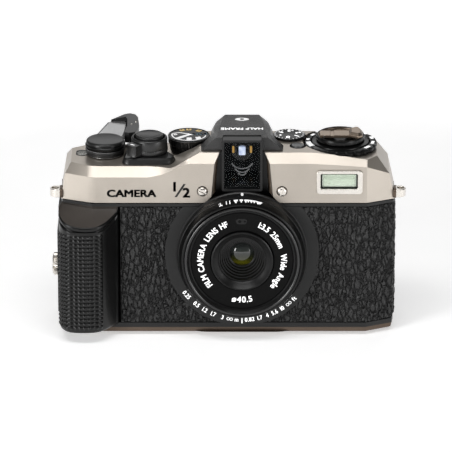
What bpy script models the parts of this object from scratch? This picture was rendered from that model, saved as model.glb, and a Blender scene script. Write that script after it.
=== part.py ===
"""Half frame film camera, built as the separate pieces it would come apart into on a bench.

Working units are millimetres in the camera's own frame: X = 0 on the lens axis and +X towards
the rewind side, Y = 0 on the front face and +Y towards the back door, Z = 0 on the tripod boss.
One empty shifts that frame so that the origin is the bottom centre of the whole camera.
"""

import math

import bmesh
import bpy
from mathutils import Vector

MM = 0.001

# Driving dimensions, in millimetres
ORIGIN_X = -5.3                 # middle of the overall width
ORIGIN_Y = 17.2                 # middle of the overall depth
BODY_LEFT = -68.0
BODY_RIGHT = 57.4
FRONT_LEFT = -56.0              # where the left chamfer of the front begins
FRONT_RIGHT = 46.8              # where the right chamfer of the front begins
CHAMFER_DEPTH = 5.0
BODY_BACK = 31.0                # back face of the covers
DOOR_BACK = 33.2
COVER_LOW = 53.0
COVER_HIGH = 71.8               # top plane of the finder and rewind side
COVER_STEP = 66.4               # lower top plane of the lever side
BEVEL = 3.3
WALL = 1.4
GAP = 0.3
RIM_HIGH = (51.6, 52.7)
RIM_LOW = (2.9, 4.7)
LENS_Z = 32.8
PLATE_R = 29.0
FIXED_RING_R = 24.3
FOCUS_RING_R = 23.9
FILTER_RING_R = 21.6
LENS_FRONT = -9.5
GATE_HALF_WIDTH = 8.5           # half frame gate, 17 mm wide and 24 mm high
GATE_HALF_HEIGHT = 12.0
FILM_PLANE = 27.6
LEVER = (-51.5, 17.0)
SPOOL = (-33.0, 17.0)
SPROCKET = (-16.2, 22.4)
RELEASE = (-34.8, 12.9)
MODE_DIAL = (-20.0, 20.0)
EV_DIAL = (17.8, 21.0)
EV_LOCK = (20.9, 10.9)
REWIND = (37.0, 17.0)
COUNTER = (-60.3, 18.0)
BATTERY = (-58.4, 6.0)
HINGE = (-66.6, 31.3)
GEAR_TEETH = 18

MATERIALS = {
    "champagne": ((0.62, 0.57, 0.50), 0.35, 0.85),
    "silver": ((0.78, 0.77, 0.75), 0.25, 1.0),
    "steel": ((0.55, 0.55, 0.56), 0.30, 1.0),
    "brass": ((0.70, 0.55, 0.28), 0.35, 1.0),
    "black_plastic": ((0.020, 0.020, 0.021), 0.45, 0.0),
    "black_metal": ((0.025, 0.025, 0.026), 0.35, 0.6),
    "leather": ((0.018, 0.018, 0.019), 0.60, 0.0),
    "rubber": ((0.015, 0.015, 0.016), 0.75, 0.0),
    "glass": ((0.75, 0.82, 0.84), 0.05, 0.0),
    "board": ((0.03, 0.16, 0.07), 0.50, 0.0),
    "battery_wrap": ((0.10, 0.12, 0.35), 0.40, 0.2),
}


# ---------------------------------------------------------------- helpers

def clear_scene():
    for thing in list(bpy.data.objects):
        bpy.data.objects.remove(thing)


def make_material(name):
    colour, roughness, metallic = MATERIALS[name]
    material = bpy.data.materials.get(name)
    if material is None:
        material = bpy.data.materials.new(name)
        material.use_nodes = True
        shader = material.node_tree.nodes["Principled BSDF"]
        shader.inputs["Base Color"].default_value = (*colour, 1.0)
        shader.inputs["Roughness"].default_value = roughness
        shader.inputs["Metallic"].default_value = metallic
    return material


def add(name, bm, material, origin=(0.0, 0.0, 0.0)):
    """Make a piece from a mesh drawn in camera millimetres, with its own origin on its axis."""
    bmesh.ops.recalc_face_normals(bm, faces=bm.faces)
    bmesh.ops.translate(bm, vec=-Vector(origin), verts=bm.verts)
    bmesh.ops.scale(bm, vec=(MM, MM, MM), verts=bm.verts)
    mesh = bpy.data.meshes.new(name)
    bm.to_mesh(mesh)
    bm.free()
    mesh.shade_smooth()
    mesh.set_sharp_from_angle(angle=math.radians(35))
    piece = bpy.data.objects.new(name, mesh)
    piece.location = Vector(origin) * MM
    piece.parent = camera_frame
    piece.data.materials.append(make_material(material))
    bpy.context.collection.objects.link(piece)
    return piece


def combine(piece, operation, shapes):
    """Cut shapes away from a piece, or unite them with it."""
    for number, shape in enumerate(shapes):
        tool = add(f"tool_{piece.name}_{operation.lower()}_{number}", shape, "steel")
        tool.hide_render = True
        tool.display_type = "WIRE"
        modifier = piece.modifiers.new(f"{operation.lower()}_{number}", "BOOLEAN")
        modifier.operation = operation
        modifier.solver = "EXACT"
        modifier.object = tool
    return piece


def cut(piece, *shapes):
    return combine(piece, "DIFFERENCE", shapes)


def unite(piece, *shapes):
    return combine(piece, "UNION", shapes)


def loft(sections, caps=None):
    """Skin a row of outlines that have the same number of points; caps splits the end faces."""
    bm = bmesh.new()
    rows = [[bm.verts.new(point) for point in section] for section in sections]
    count = len(rows[0])
    for lower, upper in zip(rows, rows[1:]):
        for k in range(count):
            after = (k + 1) % count
            bm.faces.new((lower[k], lower[after], upper[after], upper[k]))
    for row in (rows[0], rows[-1]):
        for face in caps or [range(count)]:
            bm.faces.new([row[k] for k in face])
    return bm


def upright(outline, low, high):
    """Extrude an (x, y) outline along Z."""
    return loft([[(x, y, z) for x, y in outline] for z in (low, high)])


def facing(outline, front, back):
    """Extrude an (x, z) outline along Y."""
    return loft([[(x, y, z) for x, z in outline] for y in (front, back)])


def sideways(outline, left, right):
    """Extrude a (y, z) outline along X."""
    return loft([[(x, y, z) for y, z in outline] for x in (left, right)])


def block(x, y, z):
    return upright([(x[0], y[0]), (x[1], y[0]), (x[1], y[1]), (x[0], y[1])], *z)


def turned(profile, centre, axis="Z", segments=32, teeth=0.0, teeth_above=0.0):
    """Turn a closed (radius, height) profile about an axis; teeth alternates the outer radius."""
    bm = bmesh.new()
    columns = []
    poles = {}
    for step in range(segments):
        angle = 2 * math.pi * step / segments
        column = []
        for number, (radius, height) in enumerate(profile):
            if radius < 1e-6 and number in poles:
                column.append(poles[number])
                continue
            if radius > teeth_above and teeth and step % 2:
                radius -= teeth
            a, b = radius * math.cos(angle), radius * math.sin(angle)
            if axis == "Z":
                point = (centre[0] + a, centre[1] + b, height)
            elif axis == "Y":
                point = (centre[0] + a, height, centre[1] + b)
            else:
                point = (height, centre[0] + a, centre[1] + b)
            vertex = bm.verts.new(point)
            if radius < 1e-6:
                poles[number] = vertex
            column.append(vertex)
        columns.append(column)
    for step, column in enumerate(columns):
        following = columns[(step + 1) % segments]
        for k in range(len(profile)):
            after = (k + 1) % len(profile)
            corners = []
            for vertex in (column[k], column[after], following[after], following[k]):
                if vertex not in corners:
                    corners.append(vertex)
            if len(corners) > 2:
                bm.faces.new(corners)
    return bm


def rod(radius, low, high, centre, axis="Z", segments=16):
    return turned([(0, low), (radius, low), (radius, high), (0, high)], centre, axis, segments)


def tube(inner, outer, low, high, centre, axis="Z", segments=32, **options):
    profile = [(inner, low), (outer, low), (outer, high), (inner, high)]
    return turned(profile, centre, axis, segments, **options)


def arc(centre, radius, start, end, steps):
    """Points on a circle from one angle to another, in degrees."""
    points = []
    for step in range(steps + 1):
        angle = math.radians(start + (end - start) * step / steps)
        points.append((centre[0] + radius * math.cos(angle), centre[1] + radius * math.sin(angle)))
    return points


def rounded(x, y, radius, steps=4):
    """A rectangle with round corners."""
    outline = []
    corners = ((x[1], y[1], 0), (x[0], y[1], 90), (x[0], y[0], 180), (x[1], y[0], 270))
    for corner_x, corner_y, start in corners:
        toward_x = -1 if corner_x == x[1] else 1
        toward_y = -1 if corner_y == y[1] else 1
        middle = (corner_x + toward_x * radius, corner_y + toward_y * radius)
        outline += arc(middle, radius, start, start + 90, steps)
    return outline


def inset(outline, distance):
    """Move every side of a convex anticlockwise outline inwards."""
    sides = []
    for (x0, y0), (x1, y1) in zip(outline, outline[1:] + outline[:1]):
        length = math.hypot(x1 - x0, y1 - y0)
        normal = (-(y1 - y0) / length, (x1 - x0) / length)
        start = (x0 + normal[0] * distance, y0 + normal[1] * distance)
        sides.append((start, (x1 - x0, y1 - y0)))
    moved = []
    for (start_a, way_a), (start_b, way_b) in zip(sides[-1:] + sides[:-1], sides):
        cross = way_a[0] * way_b[1] - way_a[1] * way_b[0]
        gap = (start_b[0] - start_a[0], start_b[1] - start_a[1])
        along = (gap[0] * way_b[1] - gap[1] * way_b[0]) / cross
        moved.append((start_a[0] + way_a[0] * along, start_a[1] + way_a[1] * along))
    return moved


def gear(teeth, module, low, high, centre, phase, bore=0.0):
    """A spur gear with straight flanks, narrow enough to run with play."""
    pitch = module * teeth / 2
    outline = []
    for tooth in range(teeth):
        middle = 2 * math.pi * (tooth + phase) / teeth
        for radius, share in ((pitch - 1.2 * module, -0.30), (pitch + 0.8 * module, -0.11),
                              (pitch + 0.8 * module, 0.11), (pitch - 1.2 * module, 0.30)):
            angle = middle + share * 2 * math.pi / teeth
            outline.append((centre[0] + radius * math.cos(angle),
                            centre[1] + radius * math.sin(angle)))
    return upright(outline, low, high)


clear_scene()
camera_frame = bpy.data.objects.new("camera_frame", None)
camera_frame.location = (-ORIGIN_X * MM, -ORIGIN_Y * MM, 0.0)
bpy.context.collection.objects.link(camera_frame)

BODY_PLAN = [(FRONT_LEFT, 0.0), (FRONT_RIGHT, 0.0), (BODY_RIGHT - 0.6, CHAMFER_DEPTH),
             (BODY_RIGHT, 9.0), (BODY_RIGHT, 25.0), (BODY_RIGHT - 4.5, 29.4),
             (BODY_LEFT + 4.0, 29.4), (BODY_LEFT, 25.4), (BODY_LEFT, 9.0),
             (BODY_LEFT + 0.8, CHAMFER_DEPTH)]


# ---------------------------------------------------------------- casings

def cover_section(low_x, edge_x, top_x, front, back, edge_z, top_z, bevel):
    """A slice of the top cover across the camera, from its front foot over the top to the back."""
    return [(low_x, front, COVER_LOW), (edge_x, front, edge_z), (top_x, front + bevel, top_z),
            (top_x, back - bevel, top_z), (edge_x, back, edge_z), (low_x, back, COVER_LOW)]


COVER_CAPS = [(0, 1, 4, 5), (1, 2, 3, 4)]
step_edge = COVER_STEP - BEVEL
high_edge = COVER_HIGH - BEVEL
shell = loft([
    cover_section(BODY_LEFT, -66.3, -64.2, CHAMFER_DEPTH, 27.0, step_edge, COVER_STEP, BEVEL),
    cover_section(FRONT_LEFT, FRONT_LEFT, FRONT_LEFT, 0, BODY_BACK, step_edge, COVER_STEP, BEVEL),
    cover_section(-36, -36, -36, 0, BODY_BACK, step_edge, COVER_STEP, BEVEL),
    cover_section(-24, -24, -25, 0, BODY_BACK, step_edge + 1.6, COVER_STEP + 0.1, BEVEL),
    cover_section(-20.7, -20.7, -15.7, 0, BODY_BACK, high_edge, COVER_HIGH, BEVEL),
    cover_section(25.6, 25.6, 25.6, 0, BODY_BACK, high_edge, COVER_HIGH, BEVEL),
    cover_section(FRONT_RIGHT, FRONT_RIGHT, FRONT_RIGHT, 0, BODY_BACK, 67.2, 69.3, 2.1),
    cover_section(BODY_RIGHT, 55.2, 50.6, CHAMFER_DEPTH, 27.0, 63.0, 69.3, 2.1),
], COVER_CAPS)
top_cover = add("top_cover", shell, "champagne")


def hollow_section(x, front, back, edge_z, top_z):
    """The same slice of the space inside the top cover, open below."""
    return [(x, front, COVER_LOW - 2), (x, front, edge_z), (x, front + BEVEL, top_z),
            (x, back - BEVEL, top_z), (x, back, edge_z), (x, back, COVER_LOW - 2)]


inside_back = BODY_BACK - WALL
MODE_FLOOR = 66.7               # the dials on the raised part sit in round wells
ISO_FLOOR = 69.2
inside = loft([
    hollow_section(-64.4, 7.0, 25.0, step_edge - 1.0, COVER_STEP - WALL - 0.4),
    hollow_section(-55.6, WALL, inside_back, step_edge - 0.4, COVER_STEP - WALL),
    hollow_section(-11.0, WALL, inside_back, step_edge - 0.4, COVER_STEP - WALL),
    hollow_section(-10.0, WALL, inside_back, high_edge - 0.4, COVER_HIGH - WALL),
    hollow_section(21.0, WALL, inside_back, high_edge - 0.4, COVER_HIGH - WALL),
    hollow_section(22.5, WALL, inside_back, 65.6, ISO_FLOOR - WALL),
    hollow_section(45.6, WALL, inside_back, 65.6, ISO_FLOOR - WALL),
    hollow_section(49.5, 4.0, 27.0, 62.8, 66.0),
    hollow_section(53.2, 6.5, 25.0, 58.0, 61.4),
])
finder_notch = facing([(-14.0, COVER_LOW - 1), (14.0, COVER_LOW - 1), (11.6, 55.6),
                       (10.4, high_edge), (9.4, COVER_HIGH + 1), (-9.4, COVER_HIGH + 1),
                       (-10.4, high_edge), (-11.6, 55.6)], -1.0, 6.0)
finder_well = block((-9.4, 9.4), (5.0, 26.5), (60.0, COVER_HIGH + 1))
eyepiece_hole = block((-7.0, 7.0), (BODY_BACK - 4.0, BODY_BACK + 1), (61.0, 70.0))
flash_hole = block((28.6, 44.3), (-1.0, 2.5), (57.4, 65.1))
counter_hole = upright(rounded((COUNTER[0] - 1.9, COUNTER[0] + 1.9),
                               (COUNTER[1] - 2.9, COUNTER[1] + 2.9), 1.8, 3), 60.0, 68.0)
mode_well = rod(8.5, MODE_FLOOR, COVER_HIGH + 2, MODE_DIAL, segments=40)
iso_well = rod(14.3, ISO_FLOOR, COVER_HIGH + 2, REWIND, segments=48)
cut(top_cover, inside, finder_notch, finder_well, eyepiece_hole, flash_hole, counter_hole,
    mode_well, iso_well,
    rod(2.4, 60, 70, LEVER), rod(2.2, 60, 70, RELEASE), rod(2.2, 60, 70, MODE_DIAL),
    rod(2.2, 60, 74, EV_DIAL), rod(2.9, 60, 74, EV_LOCK), rod(4.2, 60, 74, REWIND))


def roof_section(y, foot, shoulder, ridge, shoulder_z, top_z):
    """A slice of the finder cover: foot, shoulder and ridge half widths."""
    foot_z = COVER_HIGH + GAP
    return [(-foot, y, foot_z), (foot, y, foot_z), (shoulder, y, shoulder_z),
            (ridge, y, top_z), (-ridge, y, top_z), (-shoulder, y, shoulder_z)]


roof = loft([
    roof_section(5.2, 15.2, 10.6, 9.7, 76.4, 77.0),
    roof_section(10.9, 15.4, 10.8, 9.0, 75.9, 77.3),
    roof_section(15.0, 13.4, 10.5, 8.4, 75.8, 77.5),
    roof_section(18.5, 11.2, 10.2, 7.8, 75.6, 77.7),
    roof_section(28.7, 10.8, 9.4, 6.4, 75.4, 78.0),
    roof_section(30.8, 10.2, 8.6, 5.8, 73.8, 76.0),
])
prism_cover = add("prism_cover", roof, "black_plastic")
roof_inside = loft([
    [(-8.2, y, 70.0), (8.2, y, 70.0), (7.2, y, 74.0), (5.0, y, 75.8), (-5.0, y, 75.8),
     (-7.2, y, 74.0)] for y in (7.0, 29.4)])
front_panel = facing([(-11.2, 53.4), (11.2, 53.4), (11.2, 55.8), (10.0, high_edge),
                      (9.1, COVER_HIGH + 0.8), (-9.1, COVER_HIGH + 0.8), (-10.0, high_edge),
                      (-11.2, 55.8)], 2.0, 5.9)
front_opening = facing(rounded((-7.9, 7.9), (57.3, 78.5), 2.0), 1.0, 8.0)
unite(prism_cover, front_panel)
cut(prism_cover, roof_inside, front_opening)

outer_frame = facing(rounded((-7.6, 7.6), (57.7, 77.9), 1.8), 0.5, 4.7)
viewfinder_bezel = add("viewfinder_bezel", outer_frame, "black_plastic")
cut(viewfinder_bezel, facing(rounded((-6.6, 6.6), (58.9, 76.7), 1.2), -0.5, 6.0))
add("viewfinder_window", facing(rounded((-6.3, 6.3), (59.2, 76.4), 0.9), 1.0, 1.8), "glass")
add("finder_objective", turned([(0, 8.2), (2.8, 8.6), (4.8, 9.4), (4.8, 10.4), (0, 10.4)],
                               (0.0, 68.0), "Y", 24), "glass")
add("finder_prism", block((-6.5, 6.5), (12.0, 23.0), (62.0, 73.2)), "glass")
add("eyepiece_lens", facing(rounded((-5.4, 5.4), (61.8, 69.2), 1.2), 30.0, 31.6), "glass")
eyecup = facing(rounded((-9.6, 9.6), (59.0, 72.0), 3.0), BODY_BACK + GAP, 37.6)
add("eyecup", eyecup, "rubber")
cut(bpy.data.objects["eyecup"],
    facing(rounded((-5.8, 5.8), (61.4, 69.6), 1.4), BODY_BACK - 1, 39.0))

for side, name in ((-1, "front_screw_left"), (1, "front_screw_right")):
    head = turned([(0, -1.1), (1.3, -1.1), (1.85, -0.7), (1.85, -GAP), (0, -GAP)],
                  (side * 14.9, 57.6), "Y", 20)
    screw = add(name, head, "silver", (side * 14.9, -0.3, 57.6))
    cut(screw, block((side * 14.9 - 0.25, side * 14.9 + 0.25), (-1.5, -0.75), (55.0, 60.0)))

flash_frame = facing(rounded((28.9, 44.0), (57.7, 64.8), 1.0), -0.4, 2.2)
flash_bezel = add("flash_bezel", flash_frame, "silver")
unite(flash_bezel, facing(rounded((27.8, 45.1), (56.6, 65.9), 1.6), -0.9, -0.3))
cut(flash_bezel, facing(rounded((30.0, 42.6), (59.1, 64.0), 0.6), -2.0, 3.0))
add("flash_window", facing(rounded((30.3, 42.3), (59.4, 63.7), 0.4), 0.4, 1.4), "glass")
trough = [(2.6, 58.6), (8.4, 60.6), (8.4, 62.4), (2.6, 64.4), (2.6, 63.8), (7.8, 61.9),
          (7.8, 61.1), (2.6, 59.2)]
add("flash_reflector", sideways(trough, 29.2, 43.2), "silver")
add("flash_tube", rod(0.9, 29.6, 42.8, (4.9, 61.5), "X", 12), "glass")
add("flash_capacitor", rod(3.7, 6.5, 24.5, (48.6, 58.6), "Y", 20), "battery_wrap")
main_board = add("main_board", block((-8.0, 30.5), (9.0, 26.0), (55.4, 56.6)), "board")
unite(main_board, block((14.0, 22.0), (11.0, 19.0), (56.4, 58.0)))

# The chassis carries the film chambers, the gate and the black rims above and below the leather
core_plan = [(-45.8, 1.3), (FRONT_RIGHT - 0.3, 1.3), (BODY_RIGHT - 1.9, CHAMFER_DEPTH + 1.0),
             (BODY_RIGHT - 1.5, 9.3), (BODY_RIGHT - 1.5, 24.5), (BODY_RIGHT - 5.2, 28.6),
             (-45.8, 28.6)]
chassis = add("chassis", upright(core_plan, RIM_LOW[1] - 0.4, RIM_HIGH[0] + 0.4), "black_plastic")
unite(chassis, upright(inset(BODY_PLAN, -0.2), *RIM_HIGH),
      upright(inset(BODY_PLAN, 0.2), *RIM_LOW))
LENS_AXIS = (0.0, LENS_Z)
CHAMBER_LOW, CHAMBER_HIGH = 6.2, 50.4
cut(chassis,
    block((-43.6, -21.0), (7.0, 31.0), (CHAMBER_LOW, CHAMBER_HIGH)),
    block((-22.0, -9.9), (15.6, 31.0), (13.0, CHAMBER_HIGH)),
    block((24.0, 50.4), (3.4, 31.0), (CHAMBER_LOW, CHAMBER_HIGH)),
    rod(18.4, -1.0, 11.0, LENS_AXIS, "Y", 40),
    block((-GATE_HALF_WIDTH, GATE_HALF_WIDTH), (10.0, 31.0),
          (LENS_Z - GATE_HALF_HEIGHT, LENS_Z + GATE_HALF_HEIGHT)),
    block((-9.9, 24.0), (FILM_PLANE, 31.0), (14.0, CHAMBER_HIGH)),
    block((50.9, 53.4), (27.2, 31.0), (43.6, 54.0)),
    rod(2.3, 48, 54, SPOOL), rod(2.3, 48, 54, SPROCKET), rod(2.8, 48, 54, REWIND),
    rod(5.6, 1.0, 7.2, (0.0, 17.0), segments=24), rod(2.4, 1.0, 7.4, (-12.0, 22.0)))

base = add("bottom_cover", upright(inset(BODY_PLAN, 0.4), 0.8, 2.6), "champagne")
unite(base, upright(rounded((-17.0, 17.0), (4.0, 27.0), 4.0), 0.0, 1.4))
cut(base, rod(5.4, -1.0, 4.0, (0.0, 17.0), segments=24), rod(2.2, -1.0, 4.0, (-12.0, 22.0)))
add("tripod_socket", tube(3.1, 5.1, 0.1, 6.8, (0.0, 17.0), segments=24), "steel", (0, 17, 0))
add("rewind_release_button", rod(1.8, 1.0, 5.2, (-12.0, 22.0)), "black_plastic", (-12, 22, 1))

# Back door, hung on a full height pin behind the grip
knuckle = arc(HINGE, 1.8, 60, 270, 8)
door_plan = [(56.4, 29.8), (56.8, 31.0), (54.6, DOOR_BACK), (-62.4, DOOR_BACK)] + knuckle
back_door = add("back_door", upright(door_plan, 3.2, 51.2), "black_plastic", (*HINGE, 27))
cut(back_door, rod(1.0, 1.0, 53.0, HINGE))
add("door_hinge_pin", rod(0.7, 2.95, 51.45, HINGE, segments=12), "steel", (*HINGE, 27))
add("pressure_plate", block((-9.4, 20.0), (28.2, 29.4), (16.0, 49.0)), "steel")
latch = sideways([(28.9, 45.2), (28.9, 47.6), (27.6, 47.6), (27.6, 44.0), (28.2, 44.0)], 51.2, 53.0)
add("door_latch", latch, "steel")

# Leatherette, wrapped round the chamfers
right_skin = [(6.0, 0.1), (FRONT_RIGHT, 0.1), (BODY_RIGHT - 0.6, CHAMFER_DEPTH + 0.1),
              (BODY_RIGHT - 0.1, 9.0), (BODY_RIGHT - 0.1, 24.6), (BODY_RIGHT - 1.1, 24.6),
              (BODY_RIGHT - 1.1, 9.2), (BODY_RIGHT - 1.5, CHAMFER_DEPTH + 0.8),
              (FRONT_RIGHT - 0.2, 1.0), (6.0, 1.0)]
skin_z = (RIM_LOW[1] + 0.2, RIM_HIGH[0] - 0.3)
for name, outline in (("leather_right", right_skin),
                      ("leather_left", [(-45.7, 0.1), (-6.0, 0.1), (-6.0, 1.0), (-45.7, 1.0)])):
    skin = add(name, upright(outline, *skin_z), "leather")
    cut(skin, rod(PLATE_R + 0.3, -2.0, 3.0, LENS_AXIS, "Y", 48))


# ---------------------------------------------------------------- grip and battery

GRIP_PLAN = [(-46.1, 28.6), (-64.0, 28.6), (-68.6, 25.2), (-69.4, 3.0), (-69.0, -4.0),
             (-66.5, -8.3), (-61.0, -9.8), (-55.2, -9.3), (-51.6, -6.8), (-47.2, -0.5),
             (-46.1, 1.5)]


def grip_slice(plan, height, reach):
    """The grip's outline at a height; reach scales how far it stands out in front."""
    return [(x, y if y > 0 else y * reach, height) for x, y in plan]


grip = add("grip_shell", loft([grip_slice(GRIP_PLAN, 4.9, 0.86), grip_slice(GRIP_PLAN, 7.0, 0.97),
                               grip_slice(GRIP_PLAN, 9.0, 1.0), grip_slice(GRIP_PLAN, 46.8, 1.0),
                               grip_slice(GRIP_PLAN, 49.4, 0.45),
                               grip_slice(GRIP_PLAN, 51.3, 0.08)]), "rubber")
grip_inside = inset(GRIP_PLAN, 1.6)
BATTERY_DOOR_Y = (-2.0, 14.2)
BATTERY_DOOR_Z = (10.0, 43.0)
cut(grip, loft([grip_slice(grip_inside, z, 0.95) for z in (6.6, 45.2)]),
    block((-73.0, -66.0), (BATTERY_DOOR_Y[0] - GAP, BATTERY_DOOR_Y[1] + GAP),
          (BATTERY_DOOR_Z[0] - GAP, BATTERY_DOOR_Z[1] + GAP)),
    block((-66.0, -44.0), (20.0, 30.0), (8.0, 44.0)))
add("battery_cover", block((-69.0, -67.4), BATTERY_DOOR_Y, BATTERY_DOOR_Z), "black_plastic")
coin_screw = turned([(0, -71.5), (3.7, -71.5), (4.3, -71.0), (4.3, -69.3), (0, -69.3)],
                    (BATTERY[1], 26.4), "X", 32, teeth=0.25, teeth_above=4.0)
cover_screw = add("battery_cover_screw", coin_screw, "silver", (-69.3, BATTERY[1], 26.4))
cut(cover_screw, block((-72.0, -70.7), (BATTERY[1] - 5, BATTERY[1] + 5), (25.8, 27.0)))
cell = [(0, 12.0), (7.7, 12.0), (7.7, 38.2), (3.0, 38.2), (3.0, 39.0), (0, 39.0)]
add("battery", turned(cell, BATTERY, "Z", 24), "battery_wrap")

for side, name, at_x in ((-1, "strap_lug_left", BODY_LEFT - 0.1), (1, "strap_lug_right",
                                                                   BODY_RIGHT + 0.1)):
    loop = [(at_x, 4.4)] + [(at_x + side * x, 7.0 + y) for x, y in
                            arc((1.5, 0.0), 2.5, -90, 90, 6)] + [(at_x, 9.6)]
    lug = add(name, upright(loop, 53.4, 56.6), "silver")
    cut(lug, rod(1.2, 50.0, 60.0, (at_x + side * 2.1, 7.0), segments=12))


# ---------------------------------------------------------------- lens and shutter

lens_origin = (0.0, 0.0, LENS_Z)
plate = add("lens_plate", tube(18.0, PLATE_R, -0.5, 1.0, LENS_AXIS, "Y", 48), "black_metal",
            lens_origin)
cut(plate, block((-31, 31), (-3, 3), (RIM_HIGH[0] - 0.3, 70)),
    block((-31, 31), (-3, 3), (0, RIM_LOW[1] + 0.2)))
add("lens_fixed_ring", tube(21.0, FIXED_RING_R, -4.9, -0.8, LENS_AXIS, "Y", 40), "black_metal",
    lens_origin)
focus_profile = [(21.95, -5.2), (FOCUS_RING_R, -5.2), (FOCUS_RING_R - 0.1, -6.0), (22.4, -8.4),
                 (21.95, -8.4)]
add("focus_ring", turned(focus_profile, LENS_AXIS, "Y", 40), "black_metal", lens_origin)
filter_profile = [(19.9, LENS_FRONT), (21.2, LENS_FRONT), (FILTER_RING_R, -9.1),
                  (FILTER_RING_R, -8.7), (20.7, -8.7), (20.7, -1.2), (17.4, -1.2), (17.4, -2.6),
                  (19.5, -2.6), (19.5, -6.4), (19.9, -6.4)]
add("filter_ring", turned(filter_profile, LENS_AXIS, "Y", 40), "black_metal", lens_origin)
add("name_ring", tube(12.1, 19.2, -7.9, -7.2, LENS_AXIS, "Y", 40), "black_metal", lens_origin)
barrel_profile = [(10.5, -8.9), (11.3, -8.9), (11.7, -8.5), (11.7, 0.6), (5.0, 0.6), (5.0, -0.8),
                  (8.0, -4.4), (8.0, -5.2), (9.4, -6.4)]
add("lens_barrel", turned(barrel_profile, LENS_AXIS, "Y", 36), "black_metal", lens_origin)
front_lens = [(0, -2.2), (2.6, -1.8), (4.6, -0.6), (4.6, 0.5), (0, 0.5)]
add("front_element", turned(front_lens, LENS_AXIS, "Y", 24), "glass", lens_origin)
add("shutter_base", tube(4.8, 17.6, 5.4, 6.8, LENS_AXIS, "Y", 36), "black_metal")
BLADE_PIVOT = 10.5
for side, name, front in ((1, "shutter_blade_upper", 2.4), (-1, "shutter_blade_lower", 3.6)):
    pivot = (side * BLADE_PIVOT, LENS_Z)
    blade = [(side * x, LENS_Z + side * z) for x, z in
             ((12.2, -1.2), (12.4, 1.0), (10.6, 1.9), (4.0, 4.4), (-1.0, 5.2), (-5.0, 3.4),
              (-5.4, -1.0), (-3.4, -4.2), (2.0, -4.8), (8.0, -3.0))]
    add(name, facing(blade, front, front + 0.5), "steel", (pivot[0], front, pivot[1]))


# ---------------------------------------------------------------- film transport

GEAR_MODULE = 2 * 9.25 / GEAR_TEETH
hub_profile = [(0, 55.0), (2.0, 55.0), (2.0, 66.9), (7.1, 66.9), (7.1, 68.2), (7.5, 68.4),
               (7.5, 69.3), (2.0, 69.3), (2.0, 71.2), (0, 71.2)]
wind_shaft = add("wind_shaft", turned(hub_profile, LEVER, segments=32), "steel", (*LEVER, 0))
unite(wind_shaft, gear(GEAR_TEETH, GEAR_MODULE, 56.0, 58.0, LEVER, 0.0))
arm_outline = (arc(LEVER, 7.0, 128, 345, 16)
               + [(-45.4, 21.0), (-44.4, 29.0), (-43.8, 37.4), (-49.2, 37.4), (-53.6, 24.6)])
add("wind_lever_arm", upright(arm_outline, 69.6, 71.3), "steel", (*LEVER, 0))
cut(bpy.data.objects["wind_lever_arm"], rod(2.3, 69, 72, LEVER))
lever_cap = [(0, 71.5), (6.9, 71.5), (6.9, 72.2), (6.4, 72.5), (0, 72.5)]
add("wind_lever_cap", turned(lever_cap, LEVER, segments=36), "black_plastic", (*LEVER, 0))
pad_outline = [(-48.9, 37.9), (-43.4, 37.9), (-44.0, 29.0), (-44.9, 22.4), (-42.4, 21.4),
               (-39.3, 23.6), (-38.8, 29.0), (-40.3, 42.8), (-42.2, 44.2)]
thumb_pad = add("thumb_pad", upright(pad_outline, 66.9, 73.4), "black_plastic", (*LEVER, 0))
cut(thumb_pad, sideways([(10.0, 60.0), (28.0, 60.0), (28.0, 67.0), (21.0, 69.6), (10.0, 69.6)],
                        -60.0, -30.0))
spool = [(0, 7.0), (7.6, 7.0), (7.6, 8.4), (5.6, 9.4), (5.6, 47.0), (8.2, 48.0), (8.2, 49.4),
         (2.0, 49.4), (2.0, 58.6), (0, 58.6)]
add("take_up_spool", turned(spool, SPOOL, segments=24), "black_plastic", (*SPOOL, 0))
unite(bpy.data.objects["take_up_spool"],
      gear(GEAR_TEETH, GEAR_MODULE, 56.0, 58.0, SPOOL, 0.5))
wheel = [(0, 14.0), (4.9, 14.0), (5.5, 15.0), (5.5, 17.0), (4.6, 18.0), (4.6, 46.0), (5.5, 47.0),
         (5.5, 49.0), (2.0, 49.6), (2.0, 54.2), (0, 54.2)]
add("sprocket", turned(wheel, SPROCKET, segments=16, teeth=0.7, teeth_above=5.3),
    "black_plastic", (*SPROCKET, 0))
add("counter_dial", rod(4.1, 62.6, 63.4, COUNTER, segments=24), "black_plastic", (*COUNTER, 0))


# ---------------------------------------------------------------- top controls

release_plan = [(-42.4, 4.4), (-27.5, 4.4), (-25.6, 6.4), (-28.2, 11.0), (-29.0, 16.0),
                (-29.2, 20.8), (-41.0, 20.6), (-42.6, 18.8), (-44.4, 10.0), (-44.4, 6.6)]
release_base = add("release_base", loft(
    [[(x, y, COVER_STEP + GAP) for x, y in release_plan],
     [(x, y, 68.4) for x, y in release_plan],
     [(x, y, 69.0) for x, y in inset(release_plan, 0.7)]]), "black_plastic")
cut(release_base, rod(2.4, 60, 74, RELEASE))
switch_profile = [(5.6, 69.3), (6.75, 69.3), (6.75, 74.2), (6.3, 74.8), (5.6, 74.8)]
switch = add("power_switch", turned(switch_profile, RELEASE, segments=32, teeth=0.2,
                                    teeth_above=6.6), "black_plastic", (*RELEASE, 0))
unite(switch, upright([(-39.6, 9.6), (-43.2, 5.6), (-40.8, 3.8), (-37.4, 7.4)], 69.5, 73.0))
button_profile = [(0, 64.0), (1.9, 64.0), (1.9, 71.0), (5.2, 71.0), (5.2, 75.4), (4.6, 75.9),
                  (0, 75.5)]
add("shutter_button", turned(button_profile, RELEASE, segments=28), "black_plastic",
    (*RELEASE, 0))
mode_profile = [(0, 62.0), (1.9, 62.0), (1.9, 67.0), (7.1, 67.0), (7.4, 69.8), (7.9, 70.4),
                (7.9, 73.0), (6.9, 73.2), (0, 73.2)]
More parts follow.
